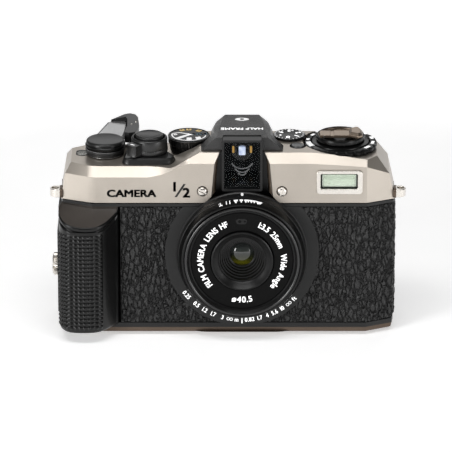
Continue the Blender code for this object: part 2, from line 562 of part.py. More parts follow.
add("mode_dial", turned(mode_profile, MODE_DIAL, segments=48, teeth=0.2, teeth_above=7.0),
    "black_plastic", (*MODE_DIAL, 0))
ev_profile = [(0, 66.0), (1.9, 66.0), (1.9, 72.1), (6.1, 72.1), (6.1, 72.7), (5.8, 72.9),
              (0, 72.9)]
add("exposure_dial", turned(ev_profile, EV_DIAL, segments=36), "black_plastic", (*EV_DIAL, 0))
lock_profile = [(0, 66.5), (2.5, 66.5), (2.5, 71.9), (2.2, 72.3), (0, 72.3)]
add("exposure_lock_button", turned(lock_profile, EV_LOCK, segments=20), "black_plastic",
    (*EV_LOCK, 0))
iso_profile = [(11.3, 69.6), (13.4, 69.6), (13.8, 70.0), (13.8, 71.2), (13.4, 71.6),
               (11.3, 71.6)]
add("iso_ring", turned(iso_profile, REWIND, segments=60, teeth=0.35, teeth_above=13.6),
    "black_plastic", (*REWIND, 0))
sleeve_profile = [(2.3, 60.0), (3.9, 60.0), (3.9, 69.6), (10.9, 69.6), (10.9, 71.7),
                  (10.4, 72.1), (2.3, 72.1)]
add("rewind_sleeve", turned(sleeve_profile, REWIND, segments=36), "black_plastic", (*REWIND, 0))
shaft = add("rewind_shaft", rod(2.0, 44.0, 72.3, REWIND), "steel", (*REWIND, 0))
cut(shaft, block((30, 44), (16.2, 17.8), (40.0, 46.5)))
knob_profile = [(0, 72.5), (9.0, 72.5), (9.1, 72.7), (9.1, 74.0), (8.8, 74.3), (8.3, 74.3),
                (8.3, 73.05), (0, 73.05)]
add("rewind_knob", turned(knob_profile, REWIND, segments=36), "black_plastic", (*REWIND, 0))
CRANK_PIVOT = (REWIND[0] - 6.6, 74.25)
crank = add("rewind_crank", block((CRANK_PIVOT[0] - 0.9, 43.2), (14.4, 19.6), (73.75, 74.75)),
            "steel", (CRANK_PIVOT[0], REWIND[1], CRANK_PIVOT[1]))
handle_plan = [(40.3, 14.2), (43.6, 11.9), (45.2, 13.6), (45.4, 18.0), (44.4, 21.2),
               (42.6, 21.8), (40.3, 19.4)]
unite(crank, loft([[(x, y, z) for x, y in inset(handle_plan, step)]
                   for z, step in ((74.55, 0.0), (75.1, 0.0), (76.0, 0.9))]))
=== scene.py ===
"""The looks of the half frame camera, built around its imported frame.

Pieces are drawn in the camera's own millimetres: X = 0 on the lens axis, Y = 0 on the front face
and +Y to the back, Z = 0 under the base. to_frame() moves them into the frame's metres.
"""

import math

import bmesh
import bpy
import numpy as np
from mathutils import Matrix, Vector, noise


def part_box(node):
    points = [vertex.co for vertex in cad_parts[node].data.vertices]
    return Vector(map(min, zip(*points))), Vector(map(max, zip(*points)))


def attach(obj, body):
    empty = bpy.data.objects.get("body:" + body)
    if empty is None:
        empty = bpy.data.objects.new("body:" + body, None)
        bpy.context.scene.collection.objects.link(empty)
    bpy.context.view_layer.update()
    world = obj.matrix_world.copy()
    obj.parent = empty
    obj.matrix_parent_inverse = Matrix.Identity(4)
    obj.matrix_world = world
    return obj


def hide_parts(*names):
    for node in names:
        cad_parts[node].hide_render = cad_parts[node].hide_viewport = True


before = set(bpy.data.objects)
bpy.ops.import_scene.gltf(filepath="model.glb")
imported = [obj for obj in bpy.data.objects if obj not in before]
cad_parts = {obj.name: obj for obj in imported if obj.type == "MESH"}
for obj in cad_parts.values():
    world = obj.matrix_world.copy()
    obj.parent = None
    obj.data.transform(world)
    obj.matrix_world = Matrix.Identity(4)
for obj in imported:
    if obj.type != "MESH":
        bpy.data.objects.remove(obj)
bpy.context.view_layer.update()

MM = 0.001
lens_low, lens_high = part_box("filter_ring")
FRAME_X = (lens_low.x + lens_high.x) / 2
FRAME_Y = lens_low.y + 9.5 * MM         # the filter ring stands 9.5 mm ahead of the front face
LENS_Z = (lens_low.z + lens_high.z) / 2 / MM


def to_frame(x, y, z):
    """A point in camera millimetres, as a place in the frame."""
    return Vector((FRAME_X + x * MM, FRAME_Y + y * MM, z * MM))


def centre_of(node):
    """A CAD node's centre, in camera millimetres."""
    low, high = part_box(node)
    middle = (low + high) / 2
    return ((middle.x - FRAME_X) / MM, (middle.y - FRAME_Y) / MM, middle.z / MM)


LEVER = centre_of("wind_lever_cap")[:2]
RELEASE = centre_of("shutter_button")[:2]
MODE_DIAL = centre_of("mode_dial")[:2]
EV_DIAL = centre_of("exposure_dial")[:2]
EV_LOCK = centre_of("exposure_lock_button")[:2]
REWIND = centre_of("rewind_knob")[:2]
COUNTER = centre_of("counter_dial")[:2]

# The body's sides and chamfered corners, then the heights of the top cover and the black rims
BODY_LEFT, BODY_RIGHT = -68.0, 57.4
FRONT_LEFT, FRONT_RIGHT = -56.0, 46.8
CHAMFER = 5.0
BODY_BACK = 31.0
COVER_LOW = 53.0
COVER_HIGH = 71.8
COVER_STEP = 66.4
BEVEL = 3.3
WALL = 1.4
RIM_HIGH = (51.6, 52.7)
RIM_LOW = (2.9, 4.7)


# ---------------------------------------------------------------- materials

def link(source, output, target, entry):
    """Wire one node's output to another's input."""
    source.id_data.links.new(source.outputs[output], target.inputs[entry])


def node(tree, kind, **inputs):
    """A new node with its inputs set; underscores stand for the spaces in an input's name."""
    made = tree.nodes.new(kind)
    for name, value in inputs.items():
        made.inputs[name.replace("_", " ")].default_value = value
    return made


def shade(value):
    """A display grey or colour, 0 to 255, as a linear colour."""
    if isinstance(value, (int, float)):
        value = (value, value, value)
    linear = []
    for part in value:
        part = part / 255
        linear.append(part / 12.92 if part < 0.04045 else ((part + 0.055) / 1.055) ** 2.4)
    return (*linear, 1.0)


def new_material(name):
    """A new material, its node tree and its shader."""
    material = bpy.data.materials.new(name)
    material.use_nodes = True
    return material, material.node_tree, material.node_tree.nodes["Principled BSDF"]


def make_material(name, low, high, rough=(0.35, 0.5), metallic=0.0, grain=1500.0, bump=0.15,
                  height=0.00003, stretch=(1, 1, 1), cloud=60.0, coat=0.0, specular=0.5):
    """A surface whose colour, roughness and relief all vary with noise at the grain's scale."""
    material, tree, shader = new_material(name)
    shader.inputs["Metallic"].default_value = metallic
    shader.inputs["Coat Weight"].default_value = coat
    shader.inputs["Coat Roughness"].default_value = 0.12
    shader.inputs["Specular IOR Level"].default_value = specular
    place = tree.nodes.new("ShaderNodeTexCoord")
    mapping = node(tree, "ShaderNodeMapping", Scale=stretch)
    fine = node(tree, "ShaderNodeTexNoise", Scale=grain, Detail=4.0, Roughness=0.6)
    broad = node(tree, "ShaderNodeTexNoise", Scale=cloud, Detail=3.0, Roughness=0.5)
    blend = tree.nodes.new("ShaderNodeMath")
    blend.operation = "MULTIPLY_ADD"
    blend.inputs[1].default_value = 0.6
    colour = tree.nodes.new("ShaderNodeValToRGB")
    colour.color_ramp.elements[0].position = 0.25
    colour.color_ramp.elements[0].color = shade(low)
    colour.color_ramp.elements[1].position = 0.95
    colour.color_ramp.elements[1].color = shade(high)
    spread = node(tree, "ShaderNodeMapRange", To_Min=rough[0], To_Max=rough[1])
    relief = node(tree, "ShaderNodeBump", Strength=bump, Distance=height)
    link(place, "Object", mapping, "Vector")
    link(mapping, "Vector", fine, "Vector")
    link(place, "Object", broad, "Vector")
    link(fine, "Fac", blend, 0)
    link(broad, "Fac", blend, 2)
    link(blend, "Value", colour, "Fac")
    link(colour, "Color", shader, "Base Color")
    link(fine, "Fac", spread, "Value")
    link(spread, "Result", shader, "Roughness")
    link(fine, "Fac", relief, "Height")
    link(relief, "Normal", shader, "Normal")
    return material


def make_leather(name):
    """Shrunken grain: stretched cells, warped, with a finer pore noise; the cells' colour is
    painted shade in the creases and painted highlight on the tops.
    """
    material = make_material(name, 3, 9, rough=(0.28, 0.42), grain=2600, bump=0.3,
                             height=0.00005, cloud=90, specular=0.22)
    tree = material.node_tree
    shader = tree.nodes["Principled BSDF"]
    place = tree.nodes.new("ShaderNodeTexCoord")
    turn = node(tree, "ShaderNodeMapping", Rotation=(0, math.radians(-35), 0),
                Scale=(1.0, 1.0, 0.42))
    warp = node(tree, "ShaderNodeTexNoise", Scale=420.0, Detail=2.0)
    mixed = tree.nodes.new("ShaderNodeVectorMath")
    mixed.operation = "MULTIPLY_ADD"
    mixed.inputs[1].default_value = (0.0016, 0.0016, 0.0016)
    cells = tree.nodes.new("ShaderNodeTexVoronoi")
    cells.feature = "DISTANCE_TO_EDGE"
    cells.inputs["Scale"].default_value = 620.0
    crease = node(tree, "ShaderNodeMapRange", From_Max=0.22)
    # Painted shade and highlight: near black in the creases, lighter on the cell tops
    tone = tree.nodes.new("ShaderNodeValToRGB")
    tone.color_ramp.elements[0].color = shade(2)
    tone.color_ramp.elements[1].color = shade(54)
    link(crease, "Result", tone, "Fac")
    link(tone, "Color", shader, "Base Color")
    relief = node(tree, "ShaderNodeBump", Strength=1.0, Distance=0.0004)
    pores = [n for n in tree.nodes if n.type == "BUMP" and n != relief][0]
    link(place, "Object", warp, "Vector")
    link(warp, "Color", mixed, 0)
    link(place, "Object", mixed, 2)
    link(mixed, "Vector", turn, "Vector")
    link(turn, "Vector", cells, "Vector")
    link(cells, "Distance", crease, "Value")
    link(crease, "Result", relief, "Height")
    link(pores, "Normal", relief, "Normal")
    link(relief, "Normal", shader, "Normal")
    return material


def glow(material, colour, strength):
    """A painted glow of its own, for surfaces painted brighter than the lamps make them."""
    shader = material.node_tree.nodes["Principled BSDF"]
    shader.inputs["Emission Color"].default_value = (*colour, 1.0)
    shader.inputs["Emission Strength"].default_value = strength


def make_glass(name, tint, rough=0.02, alpha=0.25):
    """Thin coated glass: mostly clear, with a faint uneven tint and its own reflections."""
    material, tree, shader = new_material(name)
    shader.inputs["Roughness"].default_value = rough
    place = tree.nodes.new("ShaderNodeTexCoord")
    cloud = node(tree, "ShaderNodeTexNoise", Scale=150.0, Detail=2.0)
    colour = tree.nodes.new("ShaderNodeValToRGB")
    colour.color_ramp.elements[0].color = shade([part * 0.8 for part in tint])
    colour.color_ramp.elements[1].color = shade(tint)
    clear = node(tree, "ShaderNodeMapRange", To_Min=alpha * 0.8, To_Max=alpha * 1.2)
    link(place, "Object", cloud, "Vector")
    link(cloud, "Fac", colour, "Fac")
    link(colour, "Color", shader, "Base Color")
    link(cloud, "Fac", clear, "Value")
    link(clear, "Result", shader, "Alpha")
    return material


def make_lens_glass(name):
    """Deep coated glass with painted reflections: olive low down, dark in the middle and grey near
    the top, with a faint glow in the same colours.
    """
    material, tree, shader = new_material(name)
    shader.inputs["Roughness"].default_value = 0.04
    shader.inputs["Coat Weight"].default_value = 0.6
    place = tree.nodes.new("ShaderNodeTexCoord")
    cloud = node(tree, "ShaderNodeTexNoise", Scale=260.0, Detail=2.0)
    drift = tree.nodes.new("ShaderNodeMath")
    drift.operation = "MULTIPLY_ADD"
    drift.inputs[1].default_value = 0.0016
    split = tree.nodes.new("ShaderNodeSeparateXYZ")
    reach = 4.5 * MM
    rise = node(tree, "ShaderNodeMapRange", From_Min=LENS_Z * MM - reach,
                From_Max=LENS_Z * MM + reach)
    # Painted reflections: the colour follows height, olive low down, dark in the middle and grey
    # near the top
    colour = tree.nodes.new("ShaderNodeValToRGB")
    ramp = colour.color_ramp
    ramp.elements[0].color = shade((20, 22, 8))
    ramp.elements[1].color = shade((30, 33, 32))
    for position, tone in ((0.22, (76, 74, 12)), (0.42, (44, 46, 12)), (0.6, (26, 30, 22)),
                           (0.8, (50, 54, 52))):
        ramp.elements.new(position).color = shade(tone)
    link(place, "Object", cloud, "Vector")
    link(place, "Object", split, "Vector")
    link(cloud, "Fac", drift, 0)
    link(split, "Z", drift, 2)
    link(drift, "Value", rise, "Value")
    link(rise, "Result", colour, "Fac")
    link(colour, "Color", shader, "Base Color")
    # Painted glow in the same colours
    link(colour, "Color", shader, "Emission Color")
    shader.inputs["Emission Strength"].default_value = 0.08
    return material


CHAMPAGNE = make_material("champagne_paint", (168, 160, 150), (188, 180, 170), (0.32, 0.42),
                          metallic=0.75, grain=5200, bump=0.22, height=0.00002)
# Painted shade: a darker, browner copy of the champagne, for the base and the lug seats that face
# away from the light
CHAMPAGNE_SHADED = make_material("champagne_painted_shade", (84, 72, 62), (100, 86, 75), (0.36, 0.46),
                               metallic=0.75, grain=5200, bump=0.2, height=0.00002)
BLACK_PAINT = make_material("crackle_black_paint", 4, 60, (0.3, 0.42), grain=1500, bump=1.0,
                            height=0.00022, specular=0.45)
BLACK_SATIN = make_material("satin_black", 8, 14, (0.24, 0.34), grain=2600, bump=0.08,
                            specular=0.25)
BLACK_GLOSS = make_material("gloss_black", 5, 9, (0.12, 0.2), grain=2000, bump=0.02, coat=0.15,
                            specular=0.25)
BLACK_MATT = make_material("matt_black", 4, 8, (0.6, 0.8), grain=2200, bump=0.1, specular=0.15)
RIM_BLACK = make_material("rim_black", 12, 22, (0.34, 0.46), grain=2600, bump=0.15, specular=0.4)
PLATE_GREY = make_material("lens_plate_grey", 24, 34, (0.45, 0.6), grain=3600, bump=0.5,
                           height=0.00005, specular=0.35)
LENS_BLACK = make_material("lens_black", 8, 14, (0.24, 0.34), grain=2800, bump=0.1,
                           specular=0.4)
# Painted light: a lighter black than the satin parts, standing in for the highlights the controls
# catch
CONTROL_BLACK = make_material("control_black", 20, 32, (0.3, 0.42), grain=2600, bump=0.08,
                              specular=0.5)
RUBBER = make_material("grip_rubber", 4, 9, (0.26, 0.38), grain=3000, bump=0.2, specular=0.35)
# Painted light: a lighter brown-grey copy of the grip's black rubber, for the light the
# upward-facing finger rest catches
SCOOP = make_material("grip_scoop_painted_light", (56, 52, 49), (70, 65, 61), (0.45, 0.6), grain=3000, bump=0.15,
                      specular=0.35)
SILVER = make_material("satin_silver", (205, 200, 192), (228, 223, 216), (0.22, 0.34),
                       metallic=1.0, grain=2400, bump=0.06)
WARM_METAL = make_material("crank_bronze", (136, 122, 108), (166, 150, 134), (0.28, 0.4),
                           metallic=0.9, grain=2400, bump=0.1, stretch=(0.15, 1, 1))
BRUSHED = make_material("brushed_grey", 168, 200, (0.36, 0.5), metallic=0.9, grain=2600,
                        bump=0.3, stretch=(1, 0.05, 1))
STEEL = make_material("plain_steel", 150, 180, (0.25, 0.38), metallic=1.0, grain=1800, bump=0.1)
WHITE_INK = make_material("white_ink", 245, 255, (0.5, 0.6), grain=2600, bump=0.05)
# Painted light: the white printing glows a little, so it reads brighter than the lamps make it
glow(WHITE_INK, (1.0, 1.0, 1.0), 0.3)
BLACK_INK = make_material("black_ink", 16, 24, (0.5, 0.6), grain=2600, bump=0.05)
YELLOW_INK = make_material("yellow_ink", (232, 196, 120), (246, 214, 140), (0.5, 0.6), bump=0.05)
BLUE_INK = make_material("blue_ink", (150, 200, 228), (176, 218, 240), (0.5, 0.6), bump=0.05)
LEATHER = make_leather("leatherette")
WINDOW = make_glass("window_glass", (40, 46, 50), alpha=0.05)
FLASH_GLASS = make_glass("flash_glass", (226, 240, 222), rough=0.08, alpha=0.3)
LENS_GLASS = make_lens_glass("lens_glass")
BOARD = make_material("solder_mask", (18, 74, 40), (28, 96, 54), (0.3, 0.45), cloud=300)
CELL = make_material("cell_sleeve", (38, 46, 92), (52, 60, 112), (0.25, 0.35), coat=0.3)


# ---------------------------------------------------------------- mesh helpers

def loft(sections, caps=None):
    """Skin a row of outlines that have the same number of points; caps splits the end faces."""
    bm = bmesh.new()
    rows = [[bm.verts.new(point) for point in section] for section in sections]
    count = len(rows[0])
    for lower, upper in zip(rows, rows[1:]):
        for k in range(count):
            after = (k + 1) % count
            bm.faces.new((lower[k], lower[after], upper[after], upper[k]))
    for row in (rows[0], rows[-1]):
        for face in caps or [range(count)]:
            bm.faces.new([row[k] for k in face])
    return bm


def upright(outline, low, high):
    """A straight solid between two heights, over an (x, y) outline."""
    return loft([[(x, y, z) for x, y in outline] for z in (low, high)])


def facing(outline, front, back):
    """A straight solid from front to back, behind an (x, z) outline."""
    return loft([[(x, y, z) for x, z in outline] for y in (front, back)])


def sideways(outline, left, right):
    """A straight solid from left to right, along a (y, z) outline."""
    return loft([[(x, y, z) for y, z in outline] for x in (left, right)])


def block(x, y, z):
    """A box between pairs of limits."""
    return upright([(x[0], y[0]), (x[1], y[0]), (x[1], y[1]), (x[0], y[1])], *z)


def turned(profile, centre, axis="Z", segments=96, wave=None):
    """Turn a closed (radius, height) profile; wave(angle, radius, height) may change a radius."""
    bm = bmesh.new()
    columns, poles = [], {}
    for step in range(segments):
        angle = 2 * math.pi * step / segments
        column = []
        for number, (radius, height) in enumerate(profile):
            if radius < 1e-6 and number in poles:
                column.append(poles[number])
                continue
            reach = wave(angle, radius, height) if wave else radius
            a, b = reach * math.cos(angle), reach * math.sin(angle)
            if axis == "Z":
                point = (centre[0] + a, centre[1] + b, height)
            elif axis == "Y":
                point = (centre[0] + a, height, centre[1] + b)
            else:
                point = (height, centre[0] + a, centre[1] + b)
            column.append(bm.verts.new(point))
            if radius < 1e-6:
                poles[number] = column[-1]
        columns.append(column)
    for step, column in enumerate(columns):
        following = columns[(step + 1) % segments]
        for k in range(len(profile)):
            after = (k + 1) % len(profile)
            corners = []
            for vertex in (column[k], column[after], following[after], following[k]):
                if vertex not in corners:
                    corners.append(vertex)
            if len(corners) > 2:
                bm.faces.new(corners)
    return bm


def rod(radius, low, high, centre, axis="Z", segments=48):
    """A round bar along an axis."""
    return turned([(0, low), (radius, low), (radius, high), (0, high)], centre, axis, segments)


def tube(inner, outer, low, high, centre, axis="Z", segments=96):
    """A round bar with a bore."""
    profile = [(inner, low), (outer, low), (outer, high), (inner, high)]
    return turned(profile, centre, axis, segments)


def knurl(teeth, depth, inside, below=math.inf):
    """A wave for turned(): fine teeth outside a radius and below a height."""
    def wave(angle, radius, height):
        if radius <= inside or height >= below:
            return radius
        return radius + depth * (abs((angle * teeth / math.pi) % 2 - 1) - 0.5)
    return wave


def arc(centre, radius, start, end, steps):
    """Points along an arc; its angles are in degrees."""
    points = []
    for step in range(steps + 1):
        angle = math.radians(start + (end - start) * step / steps)
        points.append((centre[0] + radius * math.cos(angle), centre[1] + radius * math.sin(angle)))
    return points


def rounded(x, y, radius, steps=6):
    """A rectangle with round corners."""
    outline = []
    for corner_x, corner_y, start in ((x[1], y[1], 0), (x[0], y[1], 90), (x[0], y[0], 180),
                                      (x[1], y[0], 270)):
        middle = (corner_x + (radius if corner_x == x[0] else -radius),
                  corner_y + (radius if corner_y == y[0] else -radius))
        outline += arc(middle, radius, start, start + 90, steps)
    return outline


def inset(outline, distance):
    """Move every side of a convex anticlockwise outline inwards."""
    sides = []
    for (x0, y0), (x1, y1) in zip(outline, outline[1:] + outline[:1]):
        length = math.hypot(x1 - x0, y1 - y0)
        normal = (-(y1 - y0) / length, (x1 - x0) / length)
        sides.append(((x0 + normal[0] * distance, y0 + normal[1] * distance),
                      (x1 - x0, y1 - y0)))
    moved = []
    for (start_a, way_a), (start_b, way_b) in zip(sides[-1:] + sides[:-1], sides):
        cross = way_a[0] * way_b[1] - way_a[1] * way_b[0]
        gap = (start_b[0] - start_a[0], start_b[1] - start_a[1])
        along = (gap[0] * way_b[1] - gap[1] * way_b[0]) / cross
        moved.append((start_a[0] + way_a[0] * along, start_a[1] + way_a[1] * along))
    return moved


def ellipse(across, along, steps, x=0.0, y=0.0):
    """A closed oval outline."""
    angles = [2 * math.pi * step / steps for step in range(steps)]
    return [(x + across * math.cos(angle), y + along * math.sin(angle)) for angle in angles]


def smooth_path(points, steps=8):
    """A Catmull-Rom curve through the points."""
    result = []
    last = len(points) - 1
    for k in range(last):
        p = [Vector(points[min(max(k + j - 1, 0), last)]) for j in range(4)]
        for step in range(steps):
            t = step / steps
            result.append(0.5 * ((2 * p[1]) + (p[2] - p[0]) * t
                                 + (2 * p[0] - 5 * p[1] + 4 * p[2] - p[3]) * t * t
                                 + (3 * p[1] - p[0] - 3 * p[2] + p[3]) * t ** 3))
    result.append(Vector(points[-1]))
    return result


def bake(thing):
    """Apply every modifier of an object to its mesh."""
    graph = bpy.context.evaluated_depsgraph_get()
    mesh = bpy.data.meshes.new_from_object(thing.evaluated_get(graph), depsgraph=graph)
    thing.modifiers.clear()
    old = thing.data
    thing.data = mesh
    bpy.data.meshes.remove(old)


def draw(name, bm, material):
    """An object from a mesh in camera millimetres."""
    bmesh.ops.recalc_face_normals(bm, faces=bm.faces)
    for vertex in bm.verts:
        vertex.co = to_frame(*vertex.co)
    mesh = bpy.data.meshes.new(name)
    bm.to_mesh(mesh)
    bm.free()
    thing = bpy.data.objects.new(name, mesh)
    mesh.materials.append(material)
    bpy.context.scene.collection.objects.link(thing)
    return thing


def boolean(thing, operation, shapes):
    """Unite a piece with shapes, or cut them out of it."""
    tools = []
    for shape in shapes:
        tool = draw("tool", shape, thing.data.materials[0])
        modifier = thing.modifiers.new("boolean", "BOOLEAN")
        modifier.operation = operation
        modifier.solver = "EXACT"
        modifier.object = tool
        tools.append(tool)
    bpy.context.view_layer.update()
    bake(thing)
    for tool in tools:
        bpy.data.objects.remove(tool)


def piece(name, bm, material, body="camera", replaces=(), cut=(), unite=(),
          bevel=0.0, segments=3, angle=28, sharp=35):
    """Make a piece: unite and cut shapes, round its edges, shade it, and set it on its body."""
    thing = draw(name, bm, material)
    if unite:
        boolean(thing, "UNION", unite)
    if cut:
        boolean(thing, "DIFFERENCE", cut)
    if bevel:
        rounding = thing.modifiers.new("rounding", "BEVEL")
        rounding.width = bevel * MM
        rounding.segments = segments
        rounding.limit_method = "ANGLE"
        rounding.angle_limit = math.radians(angle)
        rounding.harden_normals = True
        thing.data.shade_smooth()
        bake(thing)
    else:
        thing.data.shade_smooth()
        thing.data.set_sharp_from_angle(angle=math.radians(sharp))
    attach(thing, body)
    if replaces:
        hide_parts(*([replaces] if isinstance(replaces, str) else replaces))
    return thing


def join(name, things):
    """Make one object of several meshes."""
    bpy.ops.object.select_all(action="DESELECT")
    for thing in things:
        thing.select_set(True)
    bpy.context.view_layer.objects.active = things[0]
    bpy.ops.object.join()
    things[0].name = name
    return things[0]


INK = 0.06                              # how thick the printing is
# Lettering is thickened by four copies of it, shifted across and along
SHIFTS = ((-1, -0.7), (1, -0.7), (1, 0.7), (-1, 0.7))


def glyph(text, size):
    """Lettering as a mesh, centred, in millimetres, reading along +X with +Y up and facing +Z."""
    curve = bpy.data.curves.new("lettering", "FONT")
    curve.body = text
    curve.size = size
    curve.align_x = "CENTER"
    curve.align_y = "CENTER"
    curve.extrude = INK / 2
    curve.resolution_u = 3
    thing = bpy.data.objects.new("lettering", curve)
    bpy.context.scene.collection.objects.link(thing)
    bpy.context.view_layer.update()
    graph = bpy.context.evaluated_depsgraph_get()
    mesh = bpy.data.meshes.new_from_object(thing.evaluated_get(graph), depsgraph=graph)
    bpy.data.objects.remove(thing)
    bpy.data.curves.remove(curve)
    mesh.materials.clear()
    return mesh


def stamp(outlines, size):
    """Flat printed shapes as a mesh; each outline is a list of (x, y) corners."""
    bm = bmesh.new()
    for outline in outlines:
        shape = loft([[(x * size, y * size, z) for x, y in outline] for z in (-INK / 2, INK / 2)])
        mesh = bpy.data.meshes.new("stamp")
        shape.to_mesh(mesh)
        shape.free()
        bm.from_mesh(mesh)
        bpy.data.meshes.remove(mesh)
    bmesh.ops.recalc_face_normals(bm, faces=bm.faces)
    mesh = bpy.data.meshes.new("stamp")
    bm.to_mesh(mesh)
    bm.free()
    return mesh


def basis(origin, right, up):
    """A matrix that lays lettering at an origin, reading along right with its top towards up."""
    right, up = Vector(right).normalized(), Vector(up).normalized()
    out = right.cross(up)
    return Matrix(((right.x, up.x, out.x, origin[0]), (right.y, up.y, out.y, origin[1]),
                   (right.z, up.z, out.z, origin[2]), (0, 0, 0, 1)))


def place_marks(name, marks, body, material=WHITE_INK, bold=0.03):
    """marks: (text or outlines, size, matrix, stretch) each; the result is one printed piece."""
    things = []
    for what, size, matrix, stretch in marks:
        lettering = isinstance(what, str)
        for across, along in SHIFTS if lettering else ((0, 0),):
            mesh = glyph(what, size) if lettering else stamp(what, size)
            mesh.materials.append(material)
            mesh.transform(Matrix.Translation((across * bold * size, along * bold * size, 0))
                           @ Matrix.Diagonal((stretch, 1, 1, 1)))
            mesh.transform(matrix)
            for vertex in mesh.vertices:
                vertex.co = to_frame(*vertex.co)
            thing = bpy.data.objects.new("mark", mesh)
            bpy.context.scene.collection.objects.link(thing)
            things.append(thing)
    thing = join(name, things)
    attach(thing, body)


letter_widths = {}


def letter_width(letter):
    """A letter's width at size 1; a space is 0.3."""
    if letter == " ":
        return 0.3
    if letter not in letter_widths:
        mesh = glyph(letter, 1.0)
        across = [vertex.co.x for vertex in mesh.vertices]
        letter_widths[letter] = max(across) - min(across)
        bpy.data.meshes.remove(mesh)
    return letter_widths[letter]


def ring_letters(text, radius, middle, size, place, outward=True, stretch=1.0, gap=0.12):
    """Letters set round a circle, centred on an angle; place(angle, outward) gives a matrix."""
    widths = [letter_width(letter) * size * stretch + gap * size for letter in text]
    turn = -1 if outward else 1
    at = -sum(widths) / 2
    marks = []
    for letter, width in zip(text, widths):
        angle = math.radians(middle) + turn * (at + width / 2) / radius
        at += width
        if letter != " ":
            marks.append((letter, size, place(angle, outward), stretch))
    return marks


def dial_letters(texts, centre, radius, z, size, start, step, stretch=1.0):
    """Texts round a dial, at angles in degrees, with their tops towards its middle."""
    marks = []
    for number, text in enumerate(texts):
        angle = math.radians(start + step * number)
        x, y = math.cos(angle), math.sin(angle)
        origin = (centre[0] + radius * x, centre[1] + radius * y, z)
        marks.append((text, size, basis(origin, (-y, x, 0), (-x, -y, 0)), stretch))
    return marks


# ---------------------------------------------------------------- top cover

def cover_section(low_x, edge_x, top_x, front, back, edge_z, top_z, bevel):
    """A slice of the top cover, from its front foot over the top to the back."""
    return [(low_x, front, COVER_LOW), (edge_x, front, edge_z), (top_x, front + bevel, top_z),
            (top_x, back - bevel, top_z), (edge_x, back, edge_z), (low_x, back, COVER_LOW)]


COVER_CAPS = [(0, 1, 4, 5), (1, 2, 3, 4)]
STEP_EDGE = COVER_STEP - BEVEL
HIGH_EDGE = COVER_HIGH - BEVEL


def cover_sections():
    """Slices of the top cover, from its left end to its right end."""
    # The bevel keeps its slope while its lower edge climbs in an S, so it thins and widens again
    edge = smooth_path([(-35.2, STEP_EDGE), (-30.6, STEP_EDGE + 1.0), (-26.7, STEP_EDGE + 2.5),
                        (-22.9, STEP_EDGE + 4.25), (-20.5, HIGH_EDGE - 0.1),
                        (-18.6, HIGH_EDGE), (-15.9, HIGH_EDGE)], 4)
    rise = [(-27.0, COVER_STEP), (-25.4, COVER_STEP + 0.55), (-20.5, 69.8), (-15.9, COVER_HIGH)]
    sections = [
        cover_section(BODY_LEFT, -66.3, -64.2, CHAMFER, 27.0, STEP_EDGE, COVER_STEP, BEVEL)]
    # The corner where the chamfer meets the front is rounded
    for x, front in ((-58.2, 0.917), (-57.2, 0.53), (-56.2, 0.25), (-55.2, 0.07), (-54.2, 0.0)):
        sections.append(cover_section(x, x, x, front, BODY_BACK, STEP_EDGE, COVER_STEP, BEVEL))
    for low in edge:
        high = float(np.interp(low.x, [x for x, z in rise], [z for x, z in rise]))
        sections.append(cover_section(low.x, low.x, low.x, 0, BODY_BACK, low.y, high,
                                      max(0.5, high - low.y)))
    for at in (0.0, 0.15, 0.45, 1.0):
        fall = 2.5 * at ** 1.4
        x = 25.6 + (FRONT_RIGHT - 25.6) * at
        sections.append(cover_section(x, x, x, 0, BODY_BACK, HIGH_EDGE - 0.55 * fall,
                                      COVER_HIGH - fall, BEVEL - 0.45 * fall))
    sections.append(cover_section(BODY_RIGHT, 55.2, 50.6, CHAMFER, 27.0, 63.0, 69.3, 2.1))
    return sections


def cover_hollow():
    """The space inside the top cover."""
    def hollow(x, front, back, edge_z, top_z):
        return [(x, front, COVER_LOW - 2), (x, front, edge_z), (x, front + BEVEL, top_z),
                (x, back - BEVEL, top_z), (x, back, edge_z), (x, back, COVER_LOW - 2)]

    inner = BODY_BACK - WALL
    return loft([
        hollow(-64.4, 7.0, 25.0, STEP_EDGE - 1.0, COVER_STEP - WALL - 0.4),
        hollow(-55.6, WALL, inner, STEP_EDGE - 0.4, COVER_STEP - WALL),
        hollow(-11.0, WALL, inner, STEP_EDGE - 0.4, COVER_STEP - WALL),
        hollow(-10.0, WALL, inner, HIGH_EDGE - 0.4, COVER_HIGH - WALL),
        hollow(21.0, WALL, inner, HIGH_EDGE - 0.4, COVER_HIGH - WALL),
        hollow(22.5, WALL, inner, 65.6, 67.8),
        hollow(45.6, WALL, inner, 65.6, 67.8),
        hollow(49.5, 4.0, 27.0, 62.8, 66.0),
        hollow(53.2, 6.5, 25.0, 58.0, 61.4)])


def cover_notch():
    """The opening for the finder, wider in front than behind."""
    notch_front = [(14.6, COVER_LOW - 1), (11.6, 55.5), (10.4, HIGH_EDGE), (9.4, COVER_HIGH),
                   (9.2, COVER_HIGH + 1)]
    notch_back = [(12.4, COVER_LOW - 1), (9.6, 55.5), (8.7, HIGH_EDGE), (7.9, COVER_HIGH),
                  (7.8, COVER_HIGH + 1)]
    both = []
    for outline, y in ((notch_front, -0.5), (notch_front, 0.0), (notch_back, 6.0)):
        half = [(x, y, z) for x, z in outline]
        both.append(half + [(-x, y, z) for x, z in reversed(outline)])
    return loft(both)


